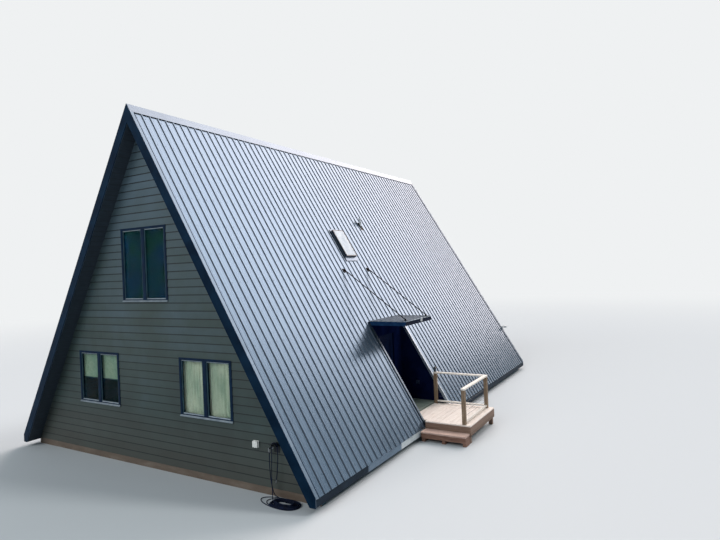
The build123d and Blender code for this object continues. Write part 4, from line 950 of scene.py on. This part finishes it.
def lap_siding_tree():
    """Courses of lap boards, each thicker at its lower edge, cut to an outline."""
    tree, given = node_group("lap_siding", {
        "Outline": "Object", "Material": "Material", "Board Length": "Float", "Exposure": "Float",
        "Butt": "Float", "Taper": "Float", "Courses": "Int", "Start": "Vector", "Seed": "Int",
    })
    tall = add(tree, "ShaderNodeMath", {0: given["Exposure"], 1: 0.0004}, operation="SUBTRACT")
    size = add(tree, "ShaderNodeCombineXYZ", {"X": given["Board Length"], "Y": given["Butt"], "Z": tall})
    board = add(tree, "GeometryNodeMeshCube", {"Size": size})
    place = add(tree, "GeometryNodeInputPosition")
    corner = add(tree, "ShaderNodeSeparateXYZ", {"Vector": place}).node.outputs
    upper = add(tree, "FunctionNodeCompare", {"A": corner["Z"], "B": 0.0}, operation="GREATER_THAN")
    outer = add(tree, "FunctionNodeCompare", {"A": corner["Y"], "B": 0.0}, operation="LESS_THAN")
    edge = add(tree, "FunctionNodeBooleanMath", {0: upper, 1: outer}, operation="AND")
    inward = add(tree, "ShaderNodeCombineXYZ", {"Y": given["Taper"]})
    board = add(tree, "GeometryNodeSetPosition", {"Geometry": board, "Selection": edge, "Offset": inward})
    rise = add(tree, "ShaderNodeCombineXYZ", {"Z": given["Exposure"]})
    courses = add(tree, "GeometryNodeMeshLine", {
        "Count": given["Courses"], "Start Location": given["Start"], "Offset": rise,
    }, mode="OFFSET")
    step = add(tree, "ShaderNodeCombineXYZ", {"X": given["Board Length"]})
    row = add(tree, "GeometryNodeMeshLine", {"Count": 4, "Offset": step}, mode="OFFSET")
    rows = add(tree, "GeometryNodeInstanceOnPoints", {"Points": courses, "Instance": row})
    shift = add(tree, "FunctionNodeRandomValue", {
        2: 0.0, 3: 1.0, "Seed": given["Seed"],
    }, take=1, data_type="FLOAT")
    for factor in (given["Board Length"], -1.0):
        shift = add(tree, "ShaderNodeMath", {0: shift, 1: factor}, operation="MULTIPLY")
    offset = add(tree, "ShaderNodeCombineXYZ", {"X": shift})
    rows = add(tree, "GeometryNodeTranslateInstances", {"Instances": rows, "Translation": offset})
    spots = add(tree, "GeometryNodeRealizeInstances", {"Geometry": rows})
    # a hair shorter than its length, so that the boards of a course don't share a face
    boards = add(tree, "GeometryNodeInstanceOnPoints", {
        "Points": spots, "Instance": board, "Scale": (0.9994, 1.0, 1.0),
    })
    boards = add(tree, "GeometryNodeRealizeInstances", {"Geometry": boards})
    outline = add(tree, "GeometryNodeObjectInfo", {
        "Object": given["Outline"],
    }, take="Geometry", transform_space="RELATIVE")
    cut = add(tree, "GeometryNodeMeshBoolean", {
        "Mesh 2": [boards, outline],
    }, operation="INTERSECT", solver="MANIFOLD")
    return end_tree(tree, cut, given["Material"])


def front_lap_siding():
    outline = merged_copy("front_siding")
    piece = link_new("front_lap_siding", bpy.data.meshes.new("front_lap_siding"))
    run_tree(piece, lap_siding_tree(), {
        "Outline": outline, "Material": LAP_BOARDS, "Board Length": 3.66, "Exposure": BOARD_SHOW,
        "Butt": 0.022, "Taper": 0.011, "Courses": 47,
        "Start": (-5.2, FRONT_Y + 0.011, SIDING_BOTTOM + BOARD_SHOW / 2), "Seed": 11,
    })
    bpy.data.objects.remove(outline)
    return carry(piece)


def fastener_tree():
    """Washer-headed hexagon screws on points that carry the way they face."""
    tree, given = node_group("washer_screws", {
        "Material": "Material", "Head Width": "Float", "Head Height": "Float",
        "Washer Width": "Float", "Washer Height": "Float", "Sides": "Int",
    })
    half = add(tree, "ShaderNodeMath", {0: given["Head Width"], 1: 0.5}, operation="MULTIPLY")
    rim = add(tree, "ShaderNodeMath", {0: given["Washer Width"], 1: 0.5}, operation="MULTIPLY")
    slim = add(tree, "ShaderNodeMath", {0: half, 1: 0.8}, operation="MULTIPLY")
    head = add(tree, "GeometryNodeMeshCone", {
        "Vertices": given["Sides"], "Radius Top": slim, "Radius Bottom": half, "Depth": given["Head Height"],
    })
    washer = add(tree, "GeometryNodeMeshCone", {
        "Vertices": 10, "Radius Top": half, "Radius Bottom": rim, "Depth": given["Washer Height"],
    })
    lift = add(tree, "ShaderNodeCombineXYZ", {"Z": given["Washer Height"]})
    head = add(tree, "GeometryNodeTransform", {"Geometry": head, "Translation": lift})
    screw = add(tree, "GeometryNodeJoinGeometry", {0: [head, washer]})
    spots = add(tree, "GeometryNodeMeshToPoints", {"Mesh": given["Geometry"], "Radius": 0.001})
    facing = add(tree, "GeometryNodeInputNamedAttribute", {"Name": "facing"}, data_type="FLOAT_VECTOR")
    turn = add(tree, "FunctionNodeAlignRotationToVector", {"Vector": facing}, axis="Z")
    placed = add(tree, "GeometryNodeInstanceOnPoints", {"Points": spots, "Instance": screw, "Rotation": turn})
    return end_tree(tree, placed, given["Material"])


FASTENERS = fastener_tree()


def fasteners(name, spots, material, head, washer, sides=6):
    """Screws at spots, each a place and the way it faces. Head and washer are a width and a
    height each."""
    mesh = bpy.data.meshes.new(name)
    mesh.from_pydata([place for place, way in spots], [], [])
    facing = mesh.attributes.new("facing", "FLOAT_VECTOR", "POINT")
    for index, (place, way) in enumerate(spots):
        facing.data[index].vector = way
    piece = link_new(name, mesh)
    run_tree(piece, FASTENERS, {
        "Material": material, "Head Width": head[0], "Head Height": head[1],
        "Washer Width": washer[0], "Washer Height": washer[1], "Sides": sides,
    })
    carry(piece)


def in_recess(x, y):
    margin = 0.05
    return x > ENTRY_FACE_X - margin and ENTRY_Y0 - margin < y < ENTRY_Y1 + margin


def near_skylight(down, y):
    half_down, half_along = 0.62, 0.40
    off = y - ENTRY_MID_Y - SKYLIGHT_PAST
    return abs(down - SKYLIGHT_DOWN) < half_down and abs(off) < half_along


def roof_screws(side):
    """A screw in every pan beside its rib, in rows over the purlins."""
    first_row, row_pitch, off_middle = 0.32, 0.75, 0.06
    spots = []
    for row in range(13):
        down = first_row + row * row_pitch
        for rib in range(65):
            y = -ROOF_HALF + RIB_FIRST + (rib + 0.5) * RIB_PITCH - off_middle
            x, z = on_slope(down, 0.001, side)
            if side > 0 and (in_recess(x, y) or near_skylight(down, y)):
                continue
            spots.append(((x, y, z), (side * SIN, 0, COS)))
    return spots


def deck_screw_spots():
    """Two screws in a board over each of four joists. The inner boards end at the recess."""
    recess_from_x = 4.970
    spots = []
    for board in range(12):
        middle = DECK_OUT_X - DECK_BOARD_W / 2 - board * DECK_BOARD_PITCH
        near, far = (-2.600, -0.680) if middle > recess_from_x else (-2.470, -0.720)
        for row in range(4):
            y = near + (far - near) * row / 3
            for side in (-0.045, 0.045):
                spots.append(((middle + side, y, DECK_TOP), (0, 0, 1)))
    return spots


def cable_end_spots():
    """Where the cables meet the posts, and the nuts on the posts' far sides."""
    low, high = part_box("porch_cables")
    spots = []
    for index in range(6):
        z = low[2] + 0.003 + (high[2] - low[2] - 0.006) * index / 5
        for x, y, way in (
            (POST_OUT_X, POST_NEAR_Y, (0, 1, 0)), (POST_OUT_X, POST_NEAR_Y, (0, -1, 0)),
            (POST_OUT_X, POST_FAR_Y, (0, -1, 0)), (POST_IN_X, POST_FAR_Y, (1, 0, 0)),
            (POST_OUT_X, POST_FAR_Y, (-1, 0, 0)), (POST_OUT_X, POST_FAR_Y, (1, 0, 0)),
        ):
            spots.append(((x + POST_HALF * way[0], y + POST_HALF * way[1], z), way))
    return spots


def window_places():
    """Middle, sill height and height of the lower left, lower right and upper window."""
    half = LOWER_SPREAD / 2
    return [
        (WINDOW_AXIS_X - half, LOWER_SILL, LOWER_H),
        (WINDOW_AXIS_X + half, LOWER_SILL, LOWER_H),
        (WINDOW_AXIS_X, UPPER_SILL, UPPER_H),
    ]


def openings(place):
    """Left, right, bottom and top of both panes' sight openings in a window."""
    middle, sill, height = place
    far = WINDOW_W / 2 - JAMB_W
    low, high = sill + HEAD_W, sill + height - HEAD_W
    return [
        (middle - far, middle - HALF_MULLION, low, high),
        (middle + HALF_MULLION, middle + far, low, high),
    ]


def sash_boxes():
    """Slim sash bars in each opening, in front of its pane, sunk 1 mm into the frame."""
    boxes = []
    wide, sunk = 0.030, 0.001
    y0, y1 = FRONT_Y + 0.006, FRONT_Y + 0.029
    for place in window_places():
        for x0, x1, z0, z1 in openings(place):
            boxes.append(((x0 - sunk, y0, z0), (x0 + wide, y1, z1)))
            boxes.append(((x1 - wide, y0, z0), (x1 + sunk, y1, z1)))
            boxes.append(((x0 + wide, y0, z1 - wide), (x1 - wide, y1, z1 + sunk)))
            boxes.append(((x0 + wide, y0 + 0.004, z0 - sunk), (x1 - wide, y1, z0 + 0.026)))
    return boxes


def front_sills():
    """Sloping sill nosing under each window and a bead along each sash's lower and upper edge."""
    shape = bmesh.new()

    def strip(x0, x1, section):
        add_strip(shape, *[[(x, y, z) for y, z in section] for x in (x0, x1)])

    for place in window_places():
        middle, sill, height = place
        out = FRAME_FRONT_Y
        strip(middle - WINDOW_W / 2 + 0.001, middle + WINDOW_W / 2 - 0.001, [
            (out, sill + 0.002), (out - 0.022, sill - 0.006),
            (out - 0.022, sill + 0.010), (out, sill + 0.030),
        ])
        for x0, x1, z0, z1 in openings(place):
            face = FRONT_Y + 0.010
            bead = face - 0.010
            for section in (
                [(face, z0 + 0.002), (bead, z0 + 0.002), (bead, z0 + 0.010), (face, z0 + 0.024)],
                [(face, z1 - 0.026), (bead, z1 - 0.020), (bead, z1 - 0.010), (face, z1 - 0.010)],
            ):
                strip(x0 + 0.031, x1 - 0.031, section)
    return finish_piece("front_sills", shape, SILL_METAL)


def hung_cloth(name, x0, x1, z0, z1, depth_at, columns, rows, material):
    """Hanging cloth of its real thickness, with its size in metres as its UV map."""
    mesh = bpy.data.meshes.new(name)
    verts = []
    for row in range(rows + 1):
        for column in range(columns + 1):
            across, up = column / columns, row / rows
            shift, y = depth_at(across, up)
            verts.append((x0 + (x1 - x0) * across + shift, y, z0 + (z1 - z0) * up))
    faces = []
    for row in range(rows):
        for column in range(columns):
            first = row * (columns + 1) + column
            faces.append((first, first + 1, first + columns + 2, first + columns + 1))
    mesh.from_pydata(verts, [], faces)
    flat = mesh.uv_layers.new(name="flat")
    for loop in mesh.loops:
        row, column = divmod(loop.vertex_index, columns + 1)
        flat.data[loop.index].uv = ((x1 - x0) * column / columns, (z1 - z0) * row / rows)
    for polygon in mesh.polygons:
        polygon.use_smooth = True
    piece = new_piece(name, mesh, material)
    cloth = piece.modifiers.new("thickness", "SOLIDIFY")
    cloth.thickness = CLOTH_T
    cloth.offset = 0.0
    return piece


def curtain(name, x0, x1, seed):
    """Gathered curtain: folds of uneven width that open out towards the hem."""
    chance = random.Random(seed)
    phases = [chance.uniform(0, math.tau) for _ in range(4)]

    def depth_at(across, up):
        fullness = 0.55 + 0.45 * math.sin(math.pi * min(1.0, (1.02 - up) * 0.9))
        wave = math.sin(across * 8.2 * math.tau + phases[0] + 1.1 * math.sin(across * 5.0 + phases[1]))
        slow = math.sin(across * 3.1 * math.tau + phases[2] + up * 0.9)
        y = CLOTH_Y + 0.018 + 0.0105 * fullness * wave + 0.0045 * slow
        return 0.004 * math.sin(across * 16.4 * math.tau + phases[3]) * (1 - up), y

    z0, z1 = LOWER_SILL + 0.031, LOWER_SILL + LOWER_H - 0.001
    return hung_cloth(name, x0, x1, z0, z1, depth_at, 180, 40, CURTAIN_CLOTH)


def roller_shade(name, x0, x1, z0, z1, seed):
    """Half-drawn roller shade: nearly flat, with a soft bow and slight ripples."""
    phase = random.Random(seed).uniform(0, math.tau)

    def depth_at(across, up):
        bow = 0.0016 * math.sin(math.pi * across) * (1 - up)
        ripple = 0.0008 * math.sin(across * 3.0 + up * 5.0 + phase)
        return 0.0, CLOTH_Y + 0.004 + bow + ripple

    return hung_cloth(name, x0, x1, z0, z1, depth_at, 40, 40, SHADE_CLOTH)


def outlet_covers():
    """Weatherproof outlet covers: a base plate, a deep box, a lid with its hinge and a latch."""
    shape = bmesh.new()
    for x, z, wall, width, height in (
        (3.183, 0.998, FRONT_Y, 0.138, 0.136), (3.830, 1.018, ENTRY_Y1, 0.110, 0.110),
    ):
        half, tall = width / 2, height / 2
        left, right, low, high = x - half, x + half, z - tall, z + tall
        add_block(shape, (left, wall - 0.010, low), (right, wall, high), 0.003)
        box = (left + 0.008, wall - 0.034, low + 0.008), (right - 0.008, wall - 0.008, high - 0.008)
        add_block(shape, *box, 0.004)
        lid = (left + 0.005, wall - 0.058, low + 0.005), (right - 0.005, wall - 0.037, high - 0.010)
        add_block(shape, *lid, 0.006)
        pin = width - 0.024
        add_turned(shape, (left + 0.012, wall - 0.036, high - 0.007), (1, 0, 0), [
            (0, 0), (0.005, 0), (0.005, pin), (0, pin),
        ], 10)
        latch = (x - 0.010, wall - 0.060, low + 0.001), (x + 0.010, wall - 0.030, low + 0.012)
        add_block(shape, *latch, 0.002)
    covers = finish_piece("outlet_covers", shape, OUTLET_PLASTIC)
    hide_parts("outlet_boxes")


def porch_lantern():
    """Square lantern on the post: foot, seeded glass behind four corner bars, cap and finial."""
    low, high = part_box("porch_lamp")
    x, y, z = (low[0] + high[0]) / 2, (low[1] + high[1]) / 2, low[2]

    def tier(shape, half, foot, top, bevel, cx=x, cy=y):
        add_block(shape, (cx - half, cy - half, z + foot), (cx + half, cy + half, z + top), bevel)

    metal = bmesh.new()
    tier(metal, 0.030, 0.0, 0.010, 0.002)
    tier(metal, 0.024, 0.009, 0.028, 0.003)
    for sx in (-1, 1):
        for sy in (-1, 1):
            tier(metal, 0.003, 0.026, 0.112, 0.0008, x + sx * 0.023, y + sy * 0.023)
    tier(metal, 0.030, 0.110, 0.118, 0.002)
    add_turned(metal, (x, y, z), (0, 0, 1), [
        (0, 0.117), (0.047, 0.117), (0.047, 0.121), (0.030, 0.138), (0.012, 0.152), (0, 0.152),
    ], 4, math.pi / 4)
    add_turned(metal, (x, y, z), (0, 0, 1), [
        (0, 0.150), (0.006, 0.150), (0.005, 0.158), (0.009, 0.164), (0.009, 0.171), (0.004, 0.178),
        (0, 0.180),
    ], 16)
    lantern = finish_piece("porch_lantern", metal, LAMP_DARK)
    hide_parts("porch_lamp")
    glass = bmesh.new()
    tier(glass, 0.021, 0.027, 0.111, 0.002)
    finish_piece("porch_lantern_glass", glass, LAMP_GLASS)


def door_mouldings():
    """Raised mouldings round two panels of the entrance door, sunk 1 mm into it."""
    low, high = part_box("entry_door")
    face = ENTRY_FACE_X - DOOR_SETBACK
    sunk = face - 0.001
    boxes = []
    for z0, z1 in ((low[2] + 0.20, low[2] + 0.86), (low[2] + 1.02, high[2] - 0.16)):
        y0, y1 = low[1] + 0.13, high[1] - 0.13
        for inset, wide, proud in ((0.0, 0.034, 0.010), (0.075, 0.016, 0.006)):
            a0, a1, b0, b1 = y0 + inset, y1 - inset, z0 + inset, z1 - inset
            boxes.append(((sunk, a0, b0), (face + proud, a1, b0 + wide)))
            boxes.append(((sunk, a0, b1 - wide), (face + proud, a1, b1)))
            boxes.append(((sunk, a0, b0 + wide), (face + proud, a0 + wide, b1 - wide)))
            boxes.append(((sunk, a1 - wide, b0 + wide), (face + proud, a1, b1 - wide)))
    bars("door_mouldings", boxes, DOOR_SHADE_ENAMEL, 0.0025)


def door_rose_and_lock():
    """Round plates behind the door's knob and round its lock, which has a turned barrel."""
    low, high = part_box("entry_door")
    face = ENTRY_FACE_X - DOOR_SETBACK
    y, lock_z = high[1] - KNOB_INSET, KNOB_Z + 0.14
    shape = bmesh.new()
    for z, radius in ((KNOB_Z, 0.033), (lock_z, 0.030)):
        add_turned(shape, (face - 0.001, y, z), (1, 0, 0), [
            (0, 0), (radius, 0), (radius, 0.004), (radius - 0.005, 0.009), (0.016, 0.011), (0, 0.011),
        ], 28)
    add_turned(shape, (face + 0.008, y, lock_z), (1, 0, 0), [
        (0, 0), (0.016, 0), (0.015, 0.010), (0, 0.011),
    ], 20)
    finish_piece("door_rose_and_lock", shape, HANGER_STEEL)


def edge_trim(name, edge, away, material):
    """Bent trim over a cut edge of the roof beside the recess: a strip on the ribs and a leg
    down the recess's side, from under the canopy to the eave."""
    shape = bmesh.new()
    top, foot = 6.50, SLOPE - 0.004
    flat = RIB_HEIGHT + 0.0015
    section = [
        (edge + away * 0.062, flat), (edge + away * 0.062, flat + 0.003), (edge - away * 0.004, flat + 0.003),
        (edge - away * 0.004, flat - 0.070), (edge - away * 0.001, flat - 0.070), (edge - away * 0.001, flat),
    ]
    ends = []
    for down in (top, foot):
        places = [(y, on_slope(down, lift)) for y, lift in section]
        ends.append([(x, y, z) for y, (x, z) in places])
    add_strip(shape, *ends)
    finish_piece(name, shape, material)


def canopy_ribs():
    """Ribs of the canopy's sheet, in line with the roof's."""
    shape = bmesh.new()
    inner_x, outer_x = 3.262, 4.381
    foot, top = CANOPY_TOP_Z - 0.001, CANOPY_TOP_Z + 0.012
    for number in range(22, 30):
        y = -ROOF_HALF + RIB_FIRST + number * RIB_PITCH
        section = [(y - 0.028, foot), (y - 0.011, top), (y + 0.011, top), (y + 0.028, foot)]
        add_strip(shape, *[[(x, *place) for place in section] for x in (inner_x, outer_x)])
    finish_piece("canopy_ribs", shape, ROOF_STEEL)


def canopy_light():
    """Small half-round fixture on the canopy's outer fascia, with a dark lens."""
    face = CANOPY_OUT_X
    y, z = -1.500, 2.972
    shape = bmesh.new()
    add_block(shape, (face - 0.001, y - 0.062, z - 0.040), (face + 0.008, y + 0.062, z + 0.030), 0.003)
    add_turned(shape, (face + 0.004, y, z - 0.006), (1, 0, 0), [
        (0, 0), (0.044, 0), (0.042, 0.010), (0.034, 0.020), (0.026, 0.024), (0, 0.024),
    ], 28)
    finish_piece("canopy_light", shape, LAMP_WHITE)
    lens = bmesh.new()
    add_turned(lens, (face + 0.026, y, z - 0.006), (1, 0, 0), [
        (0, 0), (0.021, 0), (0.019, 0.004), (0, 0.006),
    ], 24)
    finish_piece("canopy_light_lens", lens, LAMP_DARK)


def vent_collar():
    """Clamp ring round the pipe at the top of its boot, with its screw block."""
    low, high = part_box("vent_pipe")
    x, z = on_slope(VENT_DOWN)
    y = (low[1] + high[1]) / 2
    bore, ring = 0.0402, 0.0520
    shape = bmesh.new()
    add_turned(shape, (x, y, z + 0.090), (0, 0, 1), [
        (bore, 0), (0.0500, 0.0), (ring, 0.004), (ring, 0.012), (0.0500, 0.016), (bore, 0.016), (bore, 0.0),
    ], 28)
    bmesh.ops.remove_doubles(shape, verts=shape.verts[:], dist=1e-6)
    add_block(shape, (x + 0.050, y - 0.008, z + 0.091), (x + 0.062, y + 0.008, z + 0.105), 0.002)
    finish_piece("vent_collar", shape, HANGER_STEEL)


def shade_bars(shades_at):
    """Rounded bar in the hem of each roller shade."""
    y0, y1 = FRONT_Y + 0.0848, FRONT_Y + 0.0918
    boxes = [((x0 + 0.002, y0, z), (x1 - 0.002, y1, z + 0.022)) for x0, x1, z in shades_at]
    bars("shade_hem_bars", boxes, SASH_COAT, 0.0028)


outlet_covers()
porch_lantern()
door_mouldings()
door_rose_and_lock()
edge_trim("near_edge_trim", ENTRY_Y0, -1, TRIM_STEEL)
edge_trim("far_edge_trim", ENTRY_Y1, 1, HIGHLIT_EDGE_TRIM)
canopy_ribs()
canopy_light()
vent_collar()
fasteners(
    "deck_screws", deck_screw_spots(), DECK_SCREW, (0.0080, 0.0012), (0.0095, 0.0006), 10
)
fasteners(
    "cable_ends", cable_end_spots(), DECK_SCREW, (0.0120, 0.0120), (0.0220, 0.0030)
)

hose = make_hose()
hose.data.materials.append(HOSE_VINYL)
carry(hose)
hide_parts("hose_lead", "hose_coil", "hose_tail")

front_siding = front_lap_siding()
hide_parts("front_siding")
back_siding = mirrored_to_back(front_siding, "back_lap_siding")
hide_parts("back_siding")

for side, name in ((1, "roof_screws_right"), (-1, "roof_screws_left")):
    fasteners(name, roof_screws(side), SCREW_STEEL, (0.010, 0.005), (0.019, 0.002))

sashes = bars("front_sash_bars", sash_boxes(), SASH_COAT, 0.0015)
mirrored_to_back(sashes, "back_sash_bars")
mirrored_to_back(front_sills(), "back_sills")

left_window, right_window = window_places()[:2]
shade_top = LOWER_SILL + LOWER_H - 0.0005
shades_at = [(x0 - 0.028, x1 + 0.013, shade_top - 0.699) for x0, x1, z0, z1 in openings(left_window)]
shades = [
    roller_shade("shade_left", *shades_at[0], shade_top, 5),
    roller_shade("shade_right", *shades_at[1], shade_top, 6),
]
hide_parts("window_shades")
shade_bars(shades_at)

curtains = [
    curtain("curtain_left", right_window[0] - WINDOW_W / 2 + 0.031, right_window[0] - 0.025, 21),
    curtain("curtain_right", right_window[0] + 0.025, right_window[0] + WINDOW_W / 2 - 0.031, 22),
]
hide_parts("curtains")


# Floor, light and background

PALE = linear("eff1f2")


def seen_rays(tree):
    """1 for the rays that show the background: straight, mirrored or through glass."""
    rays = add(tree, "ShaderNodeLightPath").node.outputs
    seen = rays["Is Camera Ray"]
    for other in ("Is Glossy Ray", "Is Transmission Ray"):
        seen = add(tree, "ShaderNodeMath", {0: seen, 1: rays[other]}, operation="MAXIMUM")
    return seen


def stage_floor():
    """Level floor that fades into the background with distance and keeps the cabin's shadow."""
    mesh = bpy.data.meshes.new("floor")
    reach = 400.0
    corners = [(-reach, -reach, 0), (reach, -reach, 0), (reach, reach, 0), (-reach, reach, 0)]
    mesh.from_pydata(corners, [], [(0, 1, 2, 3)])
    floor = link_new("floor", mesh)
    material, tree, shader, where = new_finish("pale_floor", Roughness=0.9, Specular_IOR_Level=0.0)
    shader.inputs["Base Color"].default_value = linear("c6cdd1")
    distance = add(tree, "ShaderNodeVectorMath", {0: where}, take="Value", operation="LENGTH")
    fade = add(tree, "ShaderNodeMapRange", {
        "Value": distance, "From Min": 16.0, "From Max": 60.0,
    }, interpolation_type="SMOOTHSTEP")
    share = add(tree, "ShaderNodeMath", {0: fade, 1: seen_rays(tree)}, operation="MULTIPLY")
    glow = add(tree, "ShaderNodeEmission", {"Color": PALE, "Strength": 1.0})
    mixed = add(tree, "ShaderNodeMixShader", {0: share, 1: shader.outputs[0], 2: glow})
    out = next(node for node in tree.nodes if node.type == "OUTPUT_MATERIAL")
    tree.links.new(mixed, out.inputs["Surface"])
    mesh.materials.append(material)


def set_world():
    """Soft light from above and behind, darker towards the sides and the viewer."""
    world = bpy.data.worlds.new("studio")
    bpy.context.scene.world = world
    world.use_nodes = True
    tree = world.node_tree
    tree.nodes.clear()
    way = add(tree, "ShaderNodeTexCoord", take="Generated")
    part = add(tree, "ShaderNodeSeparateXYZ", {"Vector": way}).node.outputs
    side = add(tree, "ShaderNodeMath", {0: part["X"]}, operation="ABSOLUTE")
    above = add(tree, "ShaderNodeMath", {0: side, 1: -2.0, 2: part["Z"]}, operation="MULTIPLY_ADD")
    level = add(tree, "ShaderNodeMath", {0: part["Y"], 1: 0.5, 2: above}, operation="MULTIPLY_ADD")
    share = add(tree, "ShaderNodeMapRange", {
        "Value": level, "From Min": -0.05, "From Max": 0.30,
    }, interpolation_type="SMOOTHSTEP")
    colour = add(tree, "ShaderNodeMix", {
        "Factor": share, 6: linear("586772"), 7: linear("fbfdff"),
    }, **COLOUR_MIX)
    light = add(tree, "ShaderNodeBackground", {"Color": colour, "Strength": 0.95})
    plain = add(tree, "ShaderNodeBackground", {"Color": PALE, "Strength": 1.0})
    mixed = add(tree, "ShaderNodeMixShader", {0: seen_rays(tree), 1: light, 2: plain})
    add(tree, "ShaderNodeOutputWorld", {"Surface": mixed})


def soft_lamp(name, way, energy, degrees, colour=(1.0, 1.0, 1.0)):
    """Lamp that shines from the way given, as wide in the sky as its degrees."""
    lamp = bpy.data.lights.new(name, "SUN")
    lamp.energy = energy
    lamp.angle = math.radians(degrees)
    lamp.color = colour
    tilt = math.acos(way[2] / math.hypot(*way))
    link_new(name, lamp).rotation_euler = (tilt, 0.0, math.atan2(way[1], way[0]) + math.pi / 2)


stage_floor()
set_world()
# high up to the right, a broad bank behind that the roof mirrors, and a weak one for the gable
soft_lamp("key", (0.62, 0.30, 0.72), 0.9, 12, (1.0, 0.985, 0.96))
soft_lamp("bank", (-0.03, 0.845, 0.534), 3.0, 54, (1.0, 0.83, 0.77))
soft_lamp("fill", (-0.25, -0.80, 0.55), 1.1, 40)

bpy.context.scene.view_settings.view_transform = "Standard"
